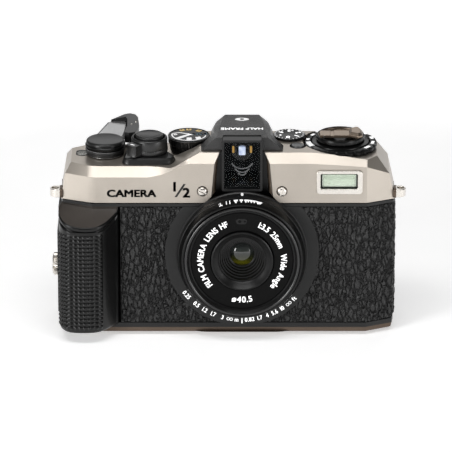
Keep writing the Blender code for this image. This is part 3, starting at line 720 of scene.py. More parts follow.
def make_top_cover():
    """The champagne shell, open for the finder, flash, dials, lever and counter."""
    counter = upright(rounded((COUNTER[0] - 1.9, COUNTER[0] + 1.9),
                              (COUNTER[1] - 2.9, COUNTER[1] + 2.9), 1.8, 5), 60.0, 68.0)
    cuts = [cover_hollow(), cover_notch(), block((-8.0, 8.0), (5.0, 26.5), (60.0, COVER_HIGH + 1)),
            block((-7.0, 7.0), (BODY_BACK - 4, BODY_BACK + 1), (61.0, 70.0)),
            block((28.6, 44.3), (-1.0, 2.5), (57.4, 65.1)), counter,
            rod(8.5, 66.7, COVER_HIGH + 2, MODE_DIAL, segments=64),
            rod(14.3, 69.2, COVER_HIGH + 2, REWIND, segments=96),
            rod(2.4, 60, 70, LEVER, segments=24), rod(2.2, 60, 70, RELEASE, segments=24),
            rod(2.9, 60, 74, EV_LOCK, segments=32), rod(4.2, 60, 74, REWIND, segments=32)]
    piece("top_cover_shell", loft(cover_sections(), COVER_CAPS), CHAMPAGNE,
          replaces="top_cover", cut=cuts, bevel=0.32, segments=3, angle=15)


make_top_cover()

BODY_PLAN = [(FRONT_LEFT, 0.0), (FRONT_RIGHT, 0.0), (BODY_RIGHT - 0.6, CHAMFER),
             (BODY_RIGHT, 9.0), (BODY_RIGHT, 25.0), (BODY_RIGHT - 4.5, 29.4),
             (BODY_LEFT + 4.0, 29.4), (BODY_LEFT, 25.4), (BODY_LEFT, 9.0),
             (BODY_LEFT + 0.8, CHAMFER)]


# ---------------------------------------------------------------- finder

SIDES = ((-1, "left"), (1, "right"))    # left and right as they look from the front
FINDER_EYE = 71.6                       # height of the finder's objective


def make_finder_cover():
    """The black roof, the panel behind the notch and the two cheeks beside it."""
    foot_z = COVER_HIGH + 0.25

    def roof_slice(y, foot, shoulder, ridge, shoulder_z, top_z):
        return [(-foot, y, foot_z), (foot, y, foot_z), (shoulder, y, shoulder_z),
                (ridge, y, top_z), (-ridge, y, top_z), (-shoulder, y, shoulder_z)]

    roof = loft([
        roof_slice(5.2, 15.3, 10.3, 9.7, 76.5, 77.0),
        roof_slice(10.9, 15.5, 10.8, 9.0, 75.9, 77.3),
        roof_slice(15.0, 13.4, 10.6, 8.4, 75.8, 77.5),
        roof_slice(18.5, 12.0, 10.8, 8.0, 75.6, 77.7),
        roof_slice(26.0, 11.7, 10.1, 7.2, 75.5, 77.95),
        roof_slice(28.7, 11.4, 9.5, 6.4, 75.4, 78.0),
        roof_slice(30.8, 10.2, 8.6, 5.8, 73.8, 76.0)])
    inside = loft([[(-8.2, y, 70.0), (8.2, y, 70.0), (7.2, y, 74.0), (5.0, y, 75.8),
                    (-5.0, y, 75.8), (-7.2, y, 74.0)] for y in (7.0, 29.4)])
    opening = facing(rounded((-7.4, 7.4), (57.0, 77.2), 0.6), 1.0, 8.0)
    piece("finder_cover_shell", roof, BLACK_PAINT,
          replaces="prism_cover", cut=[inside, opening], bevel=0.3, segments=3, angle=20)
    # The panel behind the notch, between the cover's cheeks
    cheeks = loft([[(x, y, z) for x, z in ((-12.4, 53.2), (12.4, 53.2), (10.0, 55.6),
                                           (9.2, HIGH_EDGE), (8.5, 71.6), (-8.5, 71.6),
                                           (-9.2, HIGH_EDGE), (-10.0, 55.6))]
                   for y in (4.6, 6.6)])
    piece("finder_back_panel", cheeks, BLACK_SATIN,
          cut=[facing(rounded((-7.4, 7.4), (57.0, 77.2), 0.6), 1.0, 8.0)], bevel=0.1, segments=2)
    for side, name in SIDES:
        rows = []
        for z, start, front, back in ((53.3, 0.3, 14.3, 12.3), (55.5, 0.3, 11.5, 9.65),
                                      (HIGH_EDGE, 0.35, 10.3, 8.75),
                                      (COVER_HIGH - 0.3, 3.5, 8.6, 7.95)):
            rows.append([(side * (front + 0.02), start, z), (side * (back + 0.02), 6.0, z),
                         (side * (back + 0.9), 6.6, z), (side * (front + 0.9), start + 0.9, z),
                         (side * (front + 0.45), start + 0.1, z)])
        piece(f"finder_cheek_{name}", loft(rows), CHEEK, sharp=50)


def make_finder_window():
    """The bezel, its glass, and what can be seen inside."""
    bezel = facing(rounded((-7.6, 7.6), (57.3, 77.6), 0.7), 0.5, 5.0)
    piece("finder_bezel", bezel, RIM_BLACK, replaces="viewfinder_bezel",
          cut=[facing(rounded((-6.75, 6.75), (58.2, 76.75), 0.35), -0.5, 6.0)],
          bevel=0.14, segments=3)
    piece("finder_glass", facing(rounded((-6.7, 6.7), (58.3, 76.7), 0.3), 0.85, 1.25), WINDOW,
          replaces="viewfinder_window")
    # Inside: a dark box, a sloping floor with a lens seat, and the objective's little barrel
    box = block((-6.9, 6.9), (1.6, 9.8), (57.6, 76.4))
    piece("finder_box", box, BLACK_MATT,
          cut=[block((-6.3, 6.3), (0.0, 9.2), (58.2, 75.8))], sharp=20)
    floor = sideways([(8.6, 62.6), (8.6, 58.3), (1.8, 58.3), (1.8, 58.8)], -6.2, 6.2)
    piece("finder_floor", floor, BLACK_GLOSS, bevel=0.1)
    piece("finder_barrel", tube(2.1, 2.6, 5.9, 9.0, (0, FINDER_EYE), "Y", 64), BLACK_SATIN,
          bevel=0.12)
    piece("finder_barrel_seat", tube(2.7, 4.1, 7.4, 9.0, (0, FINDER_EYE - 0.3), "Y", 64),
          LENS_BLACK, bevel=0.25)
    # The objective's pane carries a painted glint
    pane = facing(rounded((-1.35, 1.35), (FINDER_EYE - 1.75, FINDER_EYE + 1.75), 0.5), 5.5, 8.0)
    piece("finder_objective_glass", pane, FINDER_GLINT,
          replaces="finder_objective", bevel=0.4, segments=4)
    for side, name in SIDES:
        mark = facing(rounded((side * 3.3 - 0.4, side * 3.3 + 0.4),
                              (FINDER_EYE - 1.2, FINDER_EYE + 1.4), 0.3), 6.9, 7.5)
        piece(f"finder_amber_{name}", mark, AMBER)
    # Painted reflections: light grey, glowing arcs under the objective
    for number, (radius, z) in enumerate(((4.1, 68.6), (2.7, 66.0), (1.5, 64.0))):
        rings = []
        for angle in range(200, 341, 10):
            a = math.radians(angle)
            rings.append([((radius + out) * math.cos(a), 3.6 + ahead,
                           z + (radius + out) * 0.8 * math.sin(a))
                          for out, ahead in ellipse(0.28, 0.2, 8)])
        piece(f"finder_painted_reflection_arc_{number}", loft(rings), FINDER_RIM_GLINT)


def make_eyepiece():
    """The glass at the back, its tunnel and the rubber cup."""
    glass = facing(rounded((-5.4, 5.4), (61.8, 69.2), 1.2), 30.0, 31.4)
    piece("eyepiece_glass", glass, WINDOW, replaces="eyepiece_lens",
          bevel=0.2)
    tunnel = facing(rounded((-6.9, 6.9), (61.1, 69.9), 1.0), 27.4, 31.2)
    piece("eyepiece_tunnel", tunnel, BLACK_MATT,
          cut=[facing(rounded((-5.5, 5.5), (61.7, 69.3), 1.0), 28.2, 33.0)])
    cup = []
    for y, grow in ((31.3, -0.9), (32.2, -0.9), (32.9, 0.0), (36.6, 0.0), (37.5, -0.5)):
        cup.append([(x, y, z) for x, z in
                    rounded((-9.6 - grow, 9.6 + grow), (59.0 - grow, 72.0 + grow), 3.0)])
    piece("eyecup_rubber", loft(cup), RUBBER, replaces="eyecup",
          cut=[facing(rounded((-5.8, 5.8), (61.4, 69.6), 1.4), 30, 36.0),
               loft([[(x, y, z) for x, z in rounded((-5.8 - g, 5.8 + g), (61.4 - g, 69.6 + g),
                                                    1.4 + g)]
                     for y, g in ((34.5, 0.0), (38.0, 2.2))])],
          bevel=0.45, segments=4, angle=25)


CHEEK = make_material("shaded_champagne", (128, 112, 98), (144, 128, 112), (0.4, 0.5),
                      metallic=0.1, grain=5200, bump=0.2, height=0.00002)
# Painted reflections: a light grey with a little glow, for the arcs of light inside the finder
FINDER_RIM_GLINT = make_material("finder_rim_painted_glint", 60, 110, (0.2, 0.35), grain=2600, bump=0.3)
glow(FINDER_RIM_GLINT, (0.8, 0.9, 1.0), 0.03)
AMBER = make_material("amber_glint", (150, 104, 20), (220, 160, 50), (0.1, 0.2), bump=0.05)
glow(AMBER, (1.0, 0.6, 0.12), 0.25)
# Painted highlight: the objective's pane is coloured and lit as a blue-white glint
FINDER_GLINT = make_material("finder_objective_painted_glint", (70, 110, 190), (240, 246, 255),
                             (0.02, 0.06), grain=260, bump=0.0, coat=1.0, cloud=500)
glow(FINDER_GLINT, (0.55, 0.7, 1.0), 0.35)
make_finder_cover()
make_finder_window()
make_eyepiece()


# ---------------------------------------------------------------- front screws and flash

def slotted_screw(name, replaces, x, z, radius, turn):
    """A screw head with a groove turned by some degrees, and the dark seam round it."""
    head = [(0, -1.15), (radius * 0.62, -1.12), (radius * 0.88, -0.95), (radius, -0.6),
            (radius, 0.05), (0, 0.05)]
    groove = block((-0.28, 0.28), (-1.6, -0.62), (-4, 4))
    bmesh.ops.rotate(groove, cent=(0, 0, 0), matrix=Matrix.Rotation(math.radians(turn), 3, "Y"),
                     verts=groove.verts)
    bmesh.ops.translate(groove, vec=(x, 0, z), verts=groove.verts)
    piece(name, turned(head, (x, z), "Y", 48), SILVER, replaces=replaces,
          cut=[groove], bevel=0.06, segments=2, angle=40)
    piece(name + "_seat", tube(radius + 0.02, radius + 0.3, -0.06, 0.2, (x, z), "Y", 48),
          BLACK_MATT)


slotted_screw("front_screw_head_left", "front_screw_left", -14.9, 57.6, 1.75, -62)
slotted_screw("front_screw_head_right", "front_screw_right", 14.9, 57.6, 1.75, 20)


def make_flash():
    """The frame, its well, the ribbed pane, the mirror behind it and the tube."""
    frame_outer = facing(rounded((27.8, 45.1), (56.6, 65.9), 1.3), -0.75, 0.6)
    piece("flash_frame", frame_outer, SILVER, replaces="flash_bezel",
          cut=[facing(rounded((29.35, 43.2), (58.7, 64.6), 0.5), -2.0, 3.0)],
          bevel=0.42, segments=4)
    inner = facing(rounded((29.2, 43.4), (58.6, 64.8), 0.5), 0.1, 6.4)
    piece("flash_well", inner, BLACK_MATT,
          cut=[facing(rounded((29.8, 42.8), (59.1, 64.2), 0.3), -1.0, 5.8)])
    pane = bmesh.new()
    ribs, left, right = 34, 29.9, 42.7
    grid = []
    for row in range(2):
        z = (59.2, 64.1)[row]
        line = []
        for k in range(ribs * 2 + 1):
            x = left + (right - left) * k / (ribs * 2)
            line.append(pane.verts.new((x, 0.35 + (0.12 if k % 2 else 0.0), z)))
        grid.append(line)
    for k in range(ribs * 2):
        pane.faces.new((grid[0][k], grid[0][k + 1], grid[1][k + 1], grid[1][k]))
    thickness = bmesh.ops.extrude_face_region(pane, geom=pane.faces[:])
    moved = [v for v in thickness["geom"] if isinstance(v, bmesh.types.BMVert)]
    bmesh.ops.translate(pane, vec=(0, 0.5, 0), verts=moved)
    piece("flash_pane", pane, FLASH_GLASS, replaces="flash_window",
          sharp=5)
    profile = [(1.2, 59.2), (4.2, 60.0), (5.4, 61.0), (5.6, 61.65), (5.4, 62.3), (4.2, 63.3),
               (1.2, 64.1), (1.2, 63.9), (4.0, 63.05), (5.1, 62.15), (5.3, 61.65), (5.1, 61.15),
               (4.0, 60.25), (1.2, 59.4)]
    piece("flash_mirror", sideways(profile, 30.5, 42.1), FLASH_WHITE,
          replaces="flash_reflector")
    for name, x in (("left", 30.0), ("right", 42.2)):
        cheek = sideways([(1.2, 59.3), (5.4, 60.8), (5.4, 62.5), (1.2, 64.0)], x, x + 0.4)
        piece(f"flash_cheek_{name}", cheek, FLASH_WHITE)
    piece("flash_xenon_tube", rod(0.75, 30.3, 42.3, (3.9, 61.65), "X", 32), FLASH_GLASS,
          replaces="flash_tube")


# Painted reflection: the mirror and its cheeks are a pale, glowing white, for the light they throw
# back
FLASH_WHITE = make_material("flash_mirror_painted_glow", (206, 220, 204), (236, 244, 234),
                            (0.2, 0.35), metallic=0.2, grain=900, bump=0.1)
glow(FLASH_WHITE, (1.0, 1.0, 0.92), 0.22)
make_flash()


# ---------------------------------------------------------------- leather covering

LEATHER_LOW, LEATHER_HIGH = 4.9, 51.3
LEATHER_Y = 0.1
LEATHER_CELL = 0.3                      # spacing of the points that carry the grain
LEATHER_RELIEF = 0.85
PLATE_R = 29.0


def grain_height(along, up):
    """Leather grain: long pebbles that lean to the right, parted by thin cracks, 0 to 1."""
    lean = math.radians(54)
    u = along * math.cos(lean) + up * math.sin(lean)
    v = up * math.cos(lean) - along * math.sin(lean)
    drift = noise.noise(Vector((along * 0.22, up * 0.22, 5.0)))
    twist = noise.noise(Vector((along * 0.55, up * 0.55, 9.0)))
    spot = Vector((u / 2.7 + drift * 0.5, v / 1.05 + drift * 1.3 + twist * 0.5, 1.0))
    near = noise.voronoi(spot)[0]
    pebble = min(1.0, (near[1] - near[0]) / 0.42)
    fine = noise.noise(Vector((along * 1.7, up * 1.7, 2.0)))
    tall = 0.62 + 0.38 * noise.noise(Vector((along * 0.4, up * 0.4, 14.0)))
    return max(0.0, math.sin(pebble * math.pi / 2) * tall + 0.12 * fine)


def path_lengths(path):
    """How far each corner lies along a path."""
    total = [0.0]
    for start, end in zip(path, path[1:]):
        total.append(total[-1] + math.dist(start, end))
    return total


def place_on(path, lengths, distance, hand=1):
    """The point at a distance along a path, and the side on its left, or right with hand -1."""
    k = int(np.searchsorted(lengths, distance, side="right")) - 1
    k = min(max(k, 0), len(path) - 2)
    start, end = path[k], path[k + 1]
    t = (distance - lengths[k]) / (lengths[k + 1] - lengths[k])
    way = ((end[0] - start[0]), (end[1] - start[1]))
    size = math.hypot(*way)
    return ((start[0] + way[0] * t, start[1] + way[1] * t),
            (-hand * way[1] / size, hand * way[0] / size))


def make_leather_panel(name, path, replaces):
    """Leather along a path, with its grain raised and its edges tucked in round the lens."""
    lengths = path_lengths(path)
    length = lengths[-1]
    columns = round(length / LEATHER_CELL)
    rows = round((LEATHER_HIGH - LEATHER_LOW) / LEATHER_CELL)
    bm = bmesh.new()
    grid = []
    for i in range(columns + 1):
        along = length * i / columns
        (x, y), side = place_on(path, lengths, along, -1)
        column = []
        for j in range(rows + 1):
            z = LEATHER_LOW + (LEATHER_HIGH - LEATHER_LOW) * j / rows
            edge = min(along, length - along, z - LEATHER_LOW, LEATHER_HIGH - z)
            settle = min(1.0, edge / 1.1)
            lift = (LEATHER_RELIEF * grain_height(along + path[0][0], z) * settle
                    - 0.25 * (1 - settle) ** 2)
            column.append(bm.verts.new((x + side[0] * lift, y + side[1] * lift, z)))
        grid.append(column)
    for i in range(columns):
        for j in range(rows):
            corners = (grid[i][j], grid[i + 1][j], grid[i + 1][j + 1], grid[i][j + 1])
            if all(math.hypot(v.co.x, v.co.z - LENS_Z) < PLATE_R - 0.5 and v.co.y < 1.5
                   for v in corners):
                continue
            bm.faces.new(corners)
    bmesh.ops.delete(bm, geom=[v for v in bm.verts if not v.link_faces], context="VERTS")
    border = [edge for edge in bm.edges if len(edge.link_faces) == 1
              and math.hypot(edge.verts[0].co.x, edge.verts[0].co.z - LENS_Z) > PLATE_R]
    skirt = bmesh.ops.extrude_edge_only(bm, edges=border)
    for vertex in (v for v in skirt["geom"] if isinstance(v, bmesh.types.BMVert)):
        x, y, z = vertex.co
        if y > CHAMFER + 1:
            vertex.co.x -= 0.7
        else:
            vertex.co.y += 0.7
    piece(name, bm, LEATHER, replaces=replaces, sharp=80)


make_leather_panel("leather_front_left", [(-45.7, LEATHER_Y), (0.0, LEATHER_Y)], "leather_left")
make_leather_panel("leather_front_right",
                   [(0.0, LEATHER_Y), (FRONT_RIGHT, LEATHER_Y), (BODY_RIGHT - 0.7, CHAMFER),
                    (BODY_RIGHT - 0.1, 9.0), (BODY_RIGHT - 0.1, 24.6)], "leather_right")


# ---------------------------------------------------------------- grip

GRIP_PATH = ([(-46.15, 1.6), (-46.55, 0.15), (-46.95, -0.35)]
             + smooth_path([(-47.4, -0.8), (-51.6, -6.8), (-55.2, -9.3), (-61.0, -9.8),
                            (-65.6, -8.6), (-68.2, -4.8), (-68.9, 1.6), (-68.85, 12.0),
                            (-68.5, 22.6), (-67.2, 26.6), (-64.0, 28.6), (-56.0, 28.6),
                            (-46.1, 28.6)], 10))
GRIP_TOP = 51.3
# The grip's foot as (height, outward), then the lip under the finger rest as (drop, outward)
GRIP_FOOT = [(3.6, -3.2), (3.65, -2.2), (3.8, -1.3), (4.1, -0.6), (4.5, -0.2), (5.0, 0.0)]
GRIP_LIP = [(-4.2, 0.0), (-3.6, 0.0), (-3.1, 0.02), (-2.75, -0.12), (-2.5, -0.42), (-2.2, -0.5),
            (-1.9, -0.32), (-1.6, -0.05), (-1.3, 0.1), (-1.0, 0.17), (-0.7, 0.17), (-0.4, 0.1),
            (-0.18, -0.02), (0.0, -0.25)]
# How far up the finger rest each row of points lies
SCOOP_STEPS = [0.04, 0.09, 0.15] + [0.22 + 0.08 * k for k in range(10)] + [1.0]
STUD_ROWS, STUD_PITCH_Z = 24, 1.577
STUD_LOW = 5.4
STUD_STEPS = 4
STUD_RISE = 0.62
STUD_COLUMNS, STUD_PITCH = 13, 1.66
BATTERY_DOOR_Y = (-2.0, 14.2)
BATTERY_DOOR_Z = (10.0, 43.0)


def chamfer_y(x):
    """How far back the body's front face lies at a place across it."""
    return max(0.0, (FRONT_LEFT - x) * CHAMFER / (FRONT_LEFT - BODY_LEFT - 0.8))


def scoop_edge(x, y):
    """The height where the grip's finger rest starts, a bow that is lowest in front."""
    if y > 0 and x < -60:
        return 50.4
    across = (x + 58.0) / 11.2
    return 50.9 - 4.4 * math.sqrt(max(0.0, 1 - across * across))


def grip_marks(lengths, stud_start):
    """Distances along the grip's path: a few to every stud, and wider steps elsewhere."""
    marks = list(lengths[:3]) + list(np.arange(lengths[3], stud_start - 0.2, 0.5))
    marks += [stud_start + STUD_PITCH * k / STUD_STEPS for k in range(STUD_COLUMNS * STUD_STEPS)]
    stud_stop = stud_start + STUD_COLUMNS * STUD_PITCH
    return marks + list(np.arange(stud_stop, lengths[-1], 0.8)) + [lengths[-1]]


def grip_sides(marks, lengths):
    """The point at each mark and its outward side, smoothed except at the path's ends."""
    sides = []
    for k, distance in enumerate(marks):
        point, side = place_on(GRIP_PATH, lengths, distance)
        ahead = place_on(GRIP_PATH, lengths, min(distance + 0.8, lengths[-1] - 0.01))[1]
        behind = place_on(GRIP_PATH, lengths, max(distance - 0.8, 0.0))[1]
        mixed = Vector((ahead[0] + behind[0], ahead[1] + behind[1])).normalized()
        sides.append((point, mixed if 2 < k < len(marks) - 2 else Vector(side)))
    return sides


def grip_column(point, side, u):
    """One upright row of the grip's surface; u counts studs along the path."""
    x, y = point
    edge = scoop_edge(x, y)
    front = min(1.0, max(0.0, (1.5 - y) / 4.0))
    rise = [(out, z) for z, out in GRIP_FOOT]
    studded = min(u, STUD_COLUMNS - u) > 0.125
    for j in range(STUD_ROWS * STUD_STEPS + 1):
        z = STUD_LOW + STUD_PITCH_Z * j / STUD_STEPS
        v = (z - STUD_LOW) / STUD_PITCH_Z
        near = max(abs(u % 1 - 0.5), abs(v % 1 - 0.5)) * 2
        rise.append((STUD_RISE * (1 - near) if studded else 0.0, z))
    depth = -GRIP_LIP[0][0]
    start = max(rise[-1][1] + 0.5, edge - depth)
    for drop, out in GRIP_LIP:
        z = edge + drop
        if z < start:
            z = max(z, start + (edge - start) * (drop + depth) / depth)
        rise.append((out * front, z))
    column = [(x + side[0] * out, y + side[1] * out, z) for out, z in rise]
    top_x = max(x, BODY_LEFT + 0.25)
    top_y = max(y, chamfer_y(x) + 0.9)
    for t in SCOOP_STEPS:
        reach = (1 - t) ** 1.55
        rim = 0.25 * math.exp(-t * 16)
        column.append((top_x + (x - top_x) * reach - side[0] * rim * front,
                       top_y + (y - top_y) * reach - side[1] * rim * front,
                       edge + (GRIP_TOP - edge) * t))
    return column


def make_grip():
    """The rubber shell with its studs and finger rest, open where the battery lid sits."""
    lengths = path_lengths(GRIP_PATH)
    stud_start = next(lengths[k] for k, point in enumerate(GRIP_PATH) if point[0] < -52.3)
    marks = grip_marks(lengths, stud_start)
    bm = bmesh.new()
    columns = []
    for distance, (point, side) in zip(marks, grip_sides(marks, lengths)):
        column = grip_column(point, side, (distance - stud_start) / STUD_PITCH)
        columns.append([bm.verts.new(place) for place in column])
    scoop_from = len(GRIP_FOOT) + STUD_ROWS * STUD_STEPS + len(GRIP_LIP)
    door_y = (BATTERY_DOOR_Y[0] - 0.15, BATTERY_DOOR_Y[1] + 0.15)
    door_z = (BATTERY_DOOR_Z[0] - 0.15, BATTERY_DOOR_Z[1] + 0.15)
    for left, right in zip(columns, columns[1:]):
        for j in range(len(left) - 1):
            face = bm.faces.new((left[j], left[j + 1], right[j + 1], right[j]))
            face.material_index = 1 if j >= scoop_from and left[0].co.y < 3 else 0
    bm.faces.new([column[0] for column in columns])
    bm.faces.new([column[-1] for column in columns])
    bm.faces.new([*columns[0]] + [*reversed(columns[-1])])
    door = block((-73.0, -67.9), door_y, door_z)
    thing = piece("grip_cover", bm, RUBBER, replaces="grip_shell", cut=[door],
                  sharp=38)
    # The finger rest's faces carry the rubber's lighter, painted-light copy
    thing.data.materials.append(SCOOP)


make_grip()

COIN_SCREW = (6.0, 26.4)                # where its axis lies, as (y, z)


def make_battery_cover():
    """The lid at the end of the grip and the coin screw that holds it."""
    lid = facing(rounded((-69.3, -67.6), BATTERY_DOOR_Z, 0.35, 3), *BATTERY_DOOR_Y)
    dish = rod(5.3, -70.0, -69.0, COIN_SCREW, "X", 64)
    piece("battery_lid", lid, BLACK_SATIN, body="battery_cover",
          replaces="battery_cover", cut=[dish], bevel=0.25, segments=3)
    screw = [(0, -71.45), (3.3, -71.45), (3.7, -71.3), (3.9, -71.05), (4.15, -70.9),
             (4.2, -69.5), (4.0, -69.3), (0, -69.3)]
    slot = block((-72.5, -70.6), (0.6, 11.4), (25.75, 27.05))
    piece("battery_coin_screw", turned(screw, COIN_SCREW, "X", 160, knurl(40, 0.22, 4)), SILVER,
          body="battery_cover_screw", replaces="battery_cover_screw",
          cut=[slot], bevel=0.08, segments=2, angle=40)


make_battery_cover()


# ---------------------------------------------------------------- lens

LENS = (0.0, LENS_Z)


def on_face(radius, y):
    """Places printing on a ring that faces forwards."""
    def place(angle, outward):
        reach = (math.cos(angle), 0.0, math.sin(angle))
        round_way = (-math.sin(angle), 0.0, math.cos(angle))
        sign = 1 if outward else -1
        origin = (radius * reach[0], y, LENS_Z + radius * reach[2])
        return basis(origin, [-sign * value for value in round_way],
                     [sign * value for value in reach])
    return place


def make_lens_plate():
    """The plate behind the lens with the distance scale, and the fixed ring on it."""
    plate = tube(18.0, PLATE_R, -0.5, 1.0, LENS, "Y", 160)
    above = block((-31, 31), (-3, 3), (RIM_HIGH[0] - 0.1, 70))
    below = block((-31, 31), (-3, 3), (0, RIM_LOW[1] + 0.1))
    piece("lens_plate_face", plate, PLATE_GREY, replaces="lens_plate",
          cut=[above, below], bevel=0.16, segments=3)
    profile = [(21.0, -4.9), (23.6, -4.9), (24.0, -4.75), (24.2, -4.3), (24.3, -1.1),
               (24.7, -0.75), (24.7, 0.3), (21.0, 0.3)]
    piece("lens_base_ring", turned(profile, LENS, "Y", 192), RIM_BLACK,
          replaces="lens_fixed_ring", sharp=24)
    dot = loft([[(x, y, LENS_Z + 24.26 + lift) for x, y in rounded((-0.45, 0.45), (-3.5, -1.0),
                                                                   0.44)]
                for lift in (0.0, 0.3)])
    piece("lens_index_dot", dot, WHITE_INK, bevel=0.1)
    numbers = []
    scale = (("0.25", 218.5), ("0.5", 230), ("1.2", 238.3), ("1.7", 246), ("3", 254),
             ("∞", 260.0), ("m", 265.6), ("0.82", 276.2), ("1.7", 284.6), ("4", 291),
             ("5.6", 297.5), ("10", 304.6), ("∞", 311.2), ("ft", 317.2))
    place = on_face(26.75, -0.54)
    for text, angle in scale:
        if text == "∞":
            numbers.append((infinity_sign(), 0.95, place(math.radians(angle), False), 1.0))
        else:
            numbers += ring_letters(text, 26.7, angle, 2.35, place, False, 0.85, 0.1)
    bar = [[(-0.22, -1.2), (0.22, -1.2), (0.22, 1.0), (-0.22, 1.0)]]
    numbers.append((bar, 1.0, on_face(26.9, -0.54)(math.radians(270), False), 1.0))
    place_marks("lens_plate_scale", numbers, "camera", bold=0.015)


def infinity_sign():
    """Two loops, each as a ring of small quads."""
    shapes = []
    for side in (-1, 1):
        for step in range(14):
            a, b = (2 * math.pi * k / 14 for k in (step, step + 1))
            shapes.append([(side * 0.62 + reach * math.cos(t), reach * math.sin(t))
                           for reach, t in ((0.40, a), (0.68, a), (0.68, b), (0.40, b))])
    return shapes


def make_focus_ring():
    """The turning ring and the zone signs along its top."""
    profile = [(21.95, -5.2), (23.75, -5.2), (23.9, -5.45), (23.82, -6.0), (22.95, -7.9),
               (22.7, -8.3), (22.4, -8.45), (21.95, -8.45)]
    piece("focus_ring_skin", turned(profile, LENS, "Y", 240), BLACK_SATIN, body="focus_ring",
          replaces="focus_ring", sharp=20)
    lean = math.atan2(23.82 - 22.95, 7.9 - 6.0)

    def place(angle, y=-6.95):
        radius = 23.82 - (-6.0 - y) * math.tan(lean) + 0.04
        reach = Vector((math.cos(angle), 0, math.sin(angle)))
        forwards = Vector((0, -math.cos(lean), 0)) - reach * math.sin(lean)
        round_way = Vector((-math.sin(angle), 0, math.cos(angle)))
        return basis((radius * reach.x, y, LENS_Z + radius * reach.z), round_way, forwards)

    def person(x=0.0, grow=1.0):
        return [ellipse(0.36 * grow, 0.36 * grow, 12, x, 0.55 * grow),
                [(x - 0.85 * grow, -0.85), (x + 0.85 * grow, -0.85), (x + 0.6 * grow, 0.05 * grow),
                 (x - 0.6 * grow, 0.05 * grow)]]

    flower = [ellipse(0.3, 0.3, 12, 0.0, 0.4), ellipse(0.26, 0.26, 12, -0.45, 0.6),
              ellipse(0.26, 0.26, 12, 0.45, 0.6),
              [(-0.1, -0.9), (0.1, -0.9), (0.1, 0.3), (-0.1, 0.3)],
              [(0.1, -0.8), (0.8, -0.2), (0.75, -0.65)]]
    cutlery = [[(-0.75, -0.9), (-0.5, -0.9), (-0.4, 0.9), (-0.85, 0.9)],
               [(0.5, -0.9), (0.75, -0.9), (0.9, 0.9), (0.5, 0.7)]]
    mountain = [[(-1.3, -0.8), (1.3, -0.8), (0.35, 0.8), (-0.1, 0.2), (-0.45, 0.5)]]
    icons = (flower, cutlery, person(), person(-0.85, 0.8) + person(0.85, 0.8),
             person(-1.1, 0.6) + person(0.0, 0.7) + person(1.1, 0.6), mountain)
    marks = [(icon, 1.0, place(math.radians(90 + 20.0 - 7.1 * number)), 1.0)
             for number, icon in enumerate(icons)]
    place_marks("focus_zone_icons", marks, "focus_ring")


def make_lens_cell():
    """Everything that slides on the helicoid: filter ring, name ring, barrel and glass."""
    profile = [(20.15, -8.2), (20.75, -9.35), (21.0, -9.5), (21.3, -9.5), (21.52, -9.38),
               (21.6, -9.1), (21.6, -8.75), (20.9, -8.6), (20.9, -1.2), (17.4, -1.2),
               (17.4, -2.6), (19.5, -2.6), (19.6, -6.6), (19.95, -7.8)]
    piece("filter_ring_skin", turned(profile, LENS, "Y", 192), LENS_RIM, body="lens_cell",
          replaces="filter_ring", sharp=22)
    threads = [(19.9, -7.9)]
    for turn in range(4):
        y = -7.75 + turn * 0.3
        threads += [(19.35, y), (19.6, y + 0.15)]
    threads += [(19.9, -6.5)]
    piece("filter_thread", turned(threads, LENS, "Y", 128), BLACK_SATIN, body="lens_cell",
          sharp=20)
    face = [(11.9, -7.2), (11.9, -7.75), (12.1, -7.9), (18.9, -7.9), (19.2, -7.75), (19.2, -7.2)]
    piece("name_ring_skin", turned(face, LENS, "Y", 192), NAME_BLACK, body="lens_cell",
          replaces="name_ring", sharp=20)
    steps = []
    for number in range(6):
        t = number / 5
        radius = 8.9 - 3.6 * t
        y = -6.9 + 5.4 * t ** 0.8
        steps += [(radius, y), (radius - 0.12, y + 0.35), (radius - 0.5, y + 0.42)]
    barrel = ([(11.75, 0.5), (11.75, -8.2), (11.6, -8.75), (11.3, -8.95), (11.05, -8.9),
               (9.6, -7.5), (9.3, -7.3)] + steps + [(4.55, -0.9), (4.55, 0.5)])
    piece("lens_barrel_skin", turned(barrel, LENS, "Y", 160), LENS_INNER, body="lens_cell",
          replaces="lens_barrel", sharp=24)
    dome = [(0.0, -2.25), (0.9, -2.2), (1.9, -2.02), (2.9, -1.7), (3.8, -1.25), (4.5, -0.75),
            (4.5, 0.3), (0.0, 0.3)]
    piece("front_lens_glass", turned(dome, LENS, "Y", 96), LENS_GLASS, body="lens_cell",
          replaces="front_element", sharp=50)
    place = on_face(15.55, -7.94)
    name = ring_letters("FILM CAMERA LENS HF", 15.3, 166.0, 3.2, place, True, 0.85, 0.1)
    name += ring_letters("1:3.5 25mm  Wide Angle", 15.3, 11.0, 3.2, place, True, 0.85, 0.1)
    name += ring_letters("ø40.5", 15.7, 270.0, 3.3, on_face(15.7, -7.94), False, 0.95, 0.12)
    place_marks("name_ring_lettering", name, "lens_cell", bold=0.02)
    pill = facing(rounded((-2.35, 1.75), (LENS_Z + 14.55, LENS_Z + 16.75), 1.05), -8.02, -7.8)
    piece("light_sensor_window", pill, BLACK_GLOSS, body="lens_cell",
          bevel=0.06, segments=2)
    for number, (x, radius) in enumerate(((-0.95, 0.62), (1.0, 0.42))):
        eye = [(0, -8.14), (radius * 0.8, -8.1), (radius, -8.0), (0, -8.0)]
        piece(f"light_sensor_eye_{number}", turned(eye, (x, LENS_Z + 15.7), "Y", 32),
              BLACK_MATT, body="lens_cell")


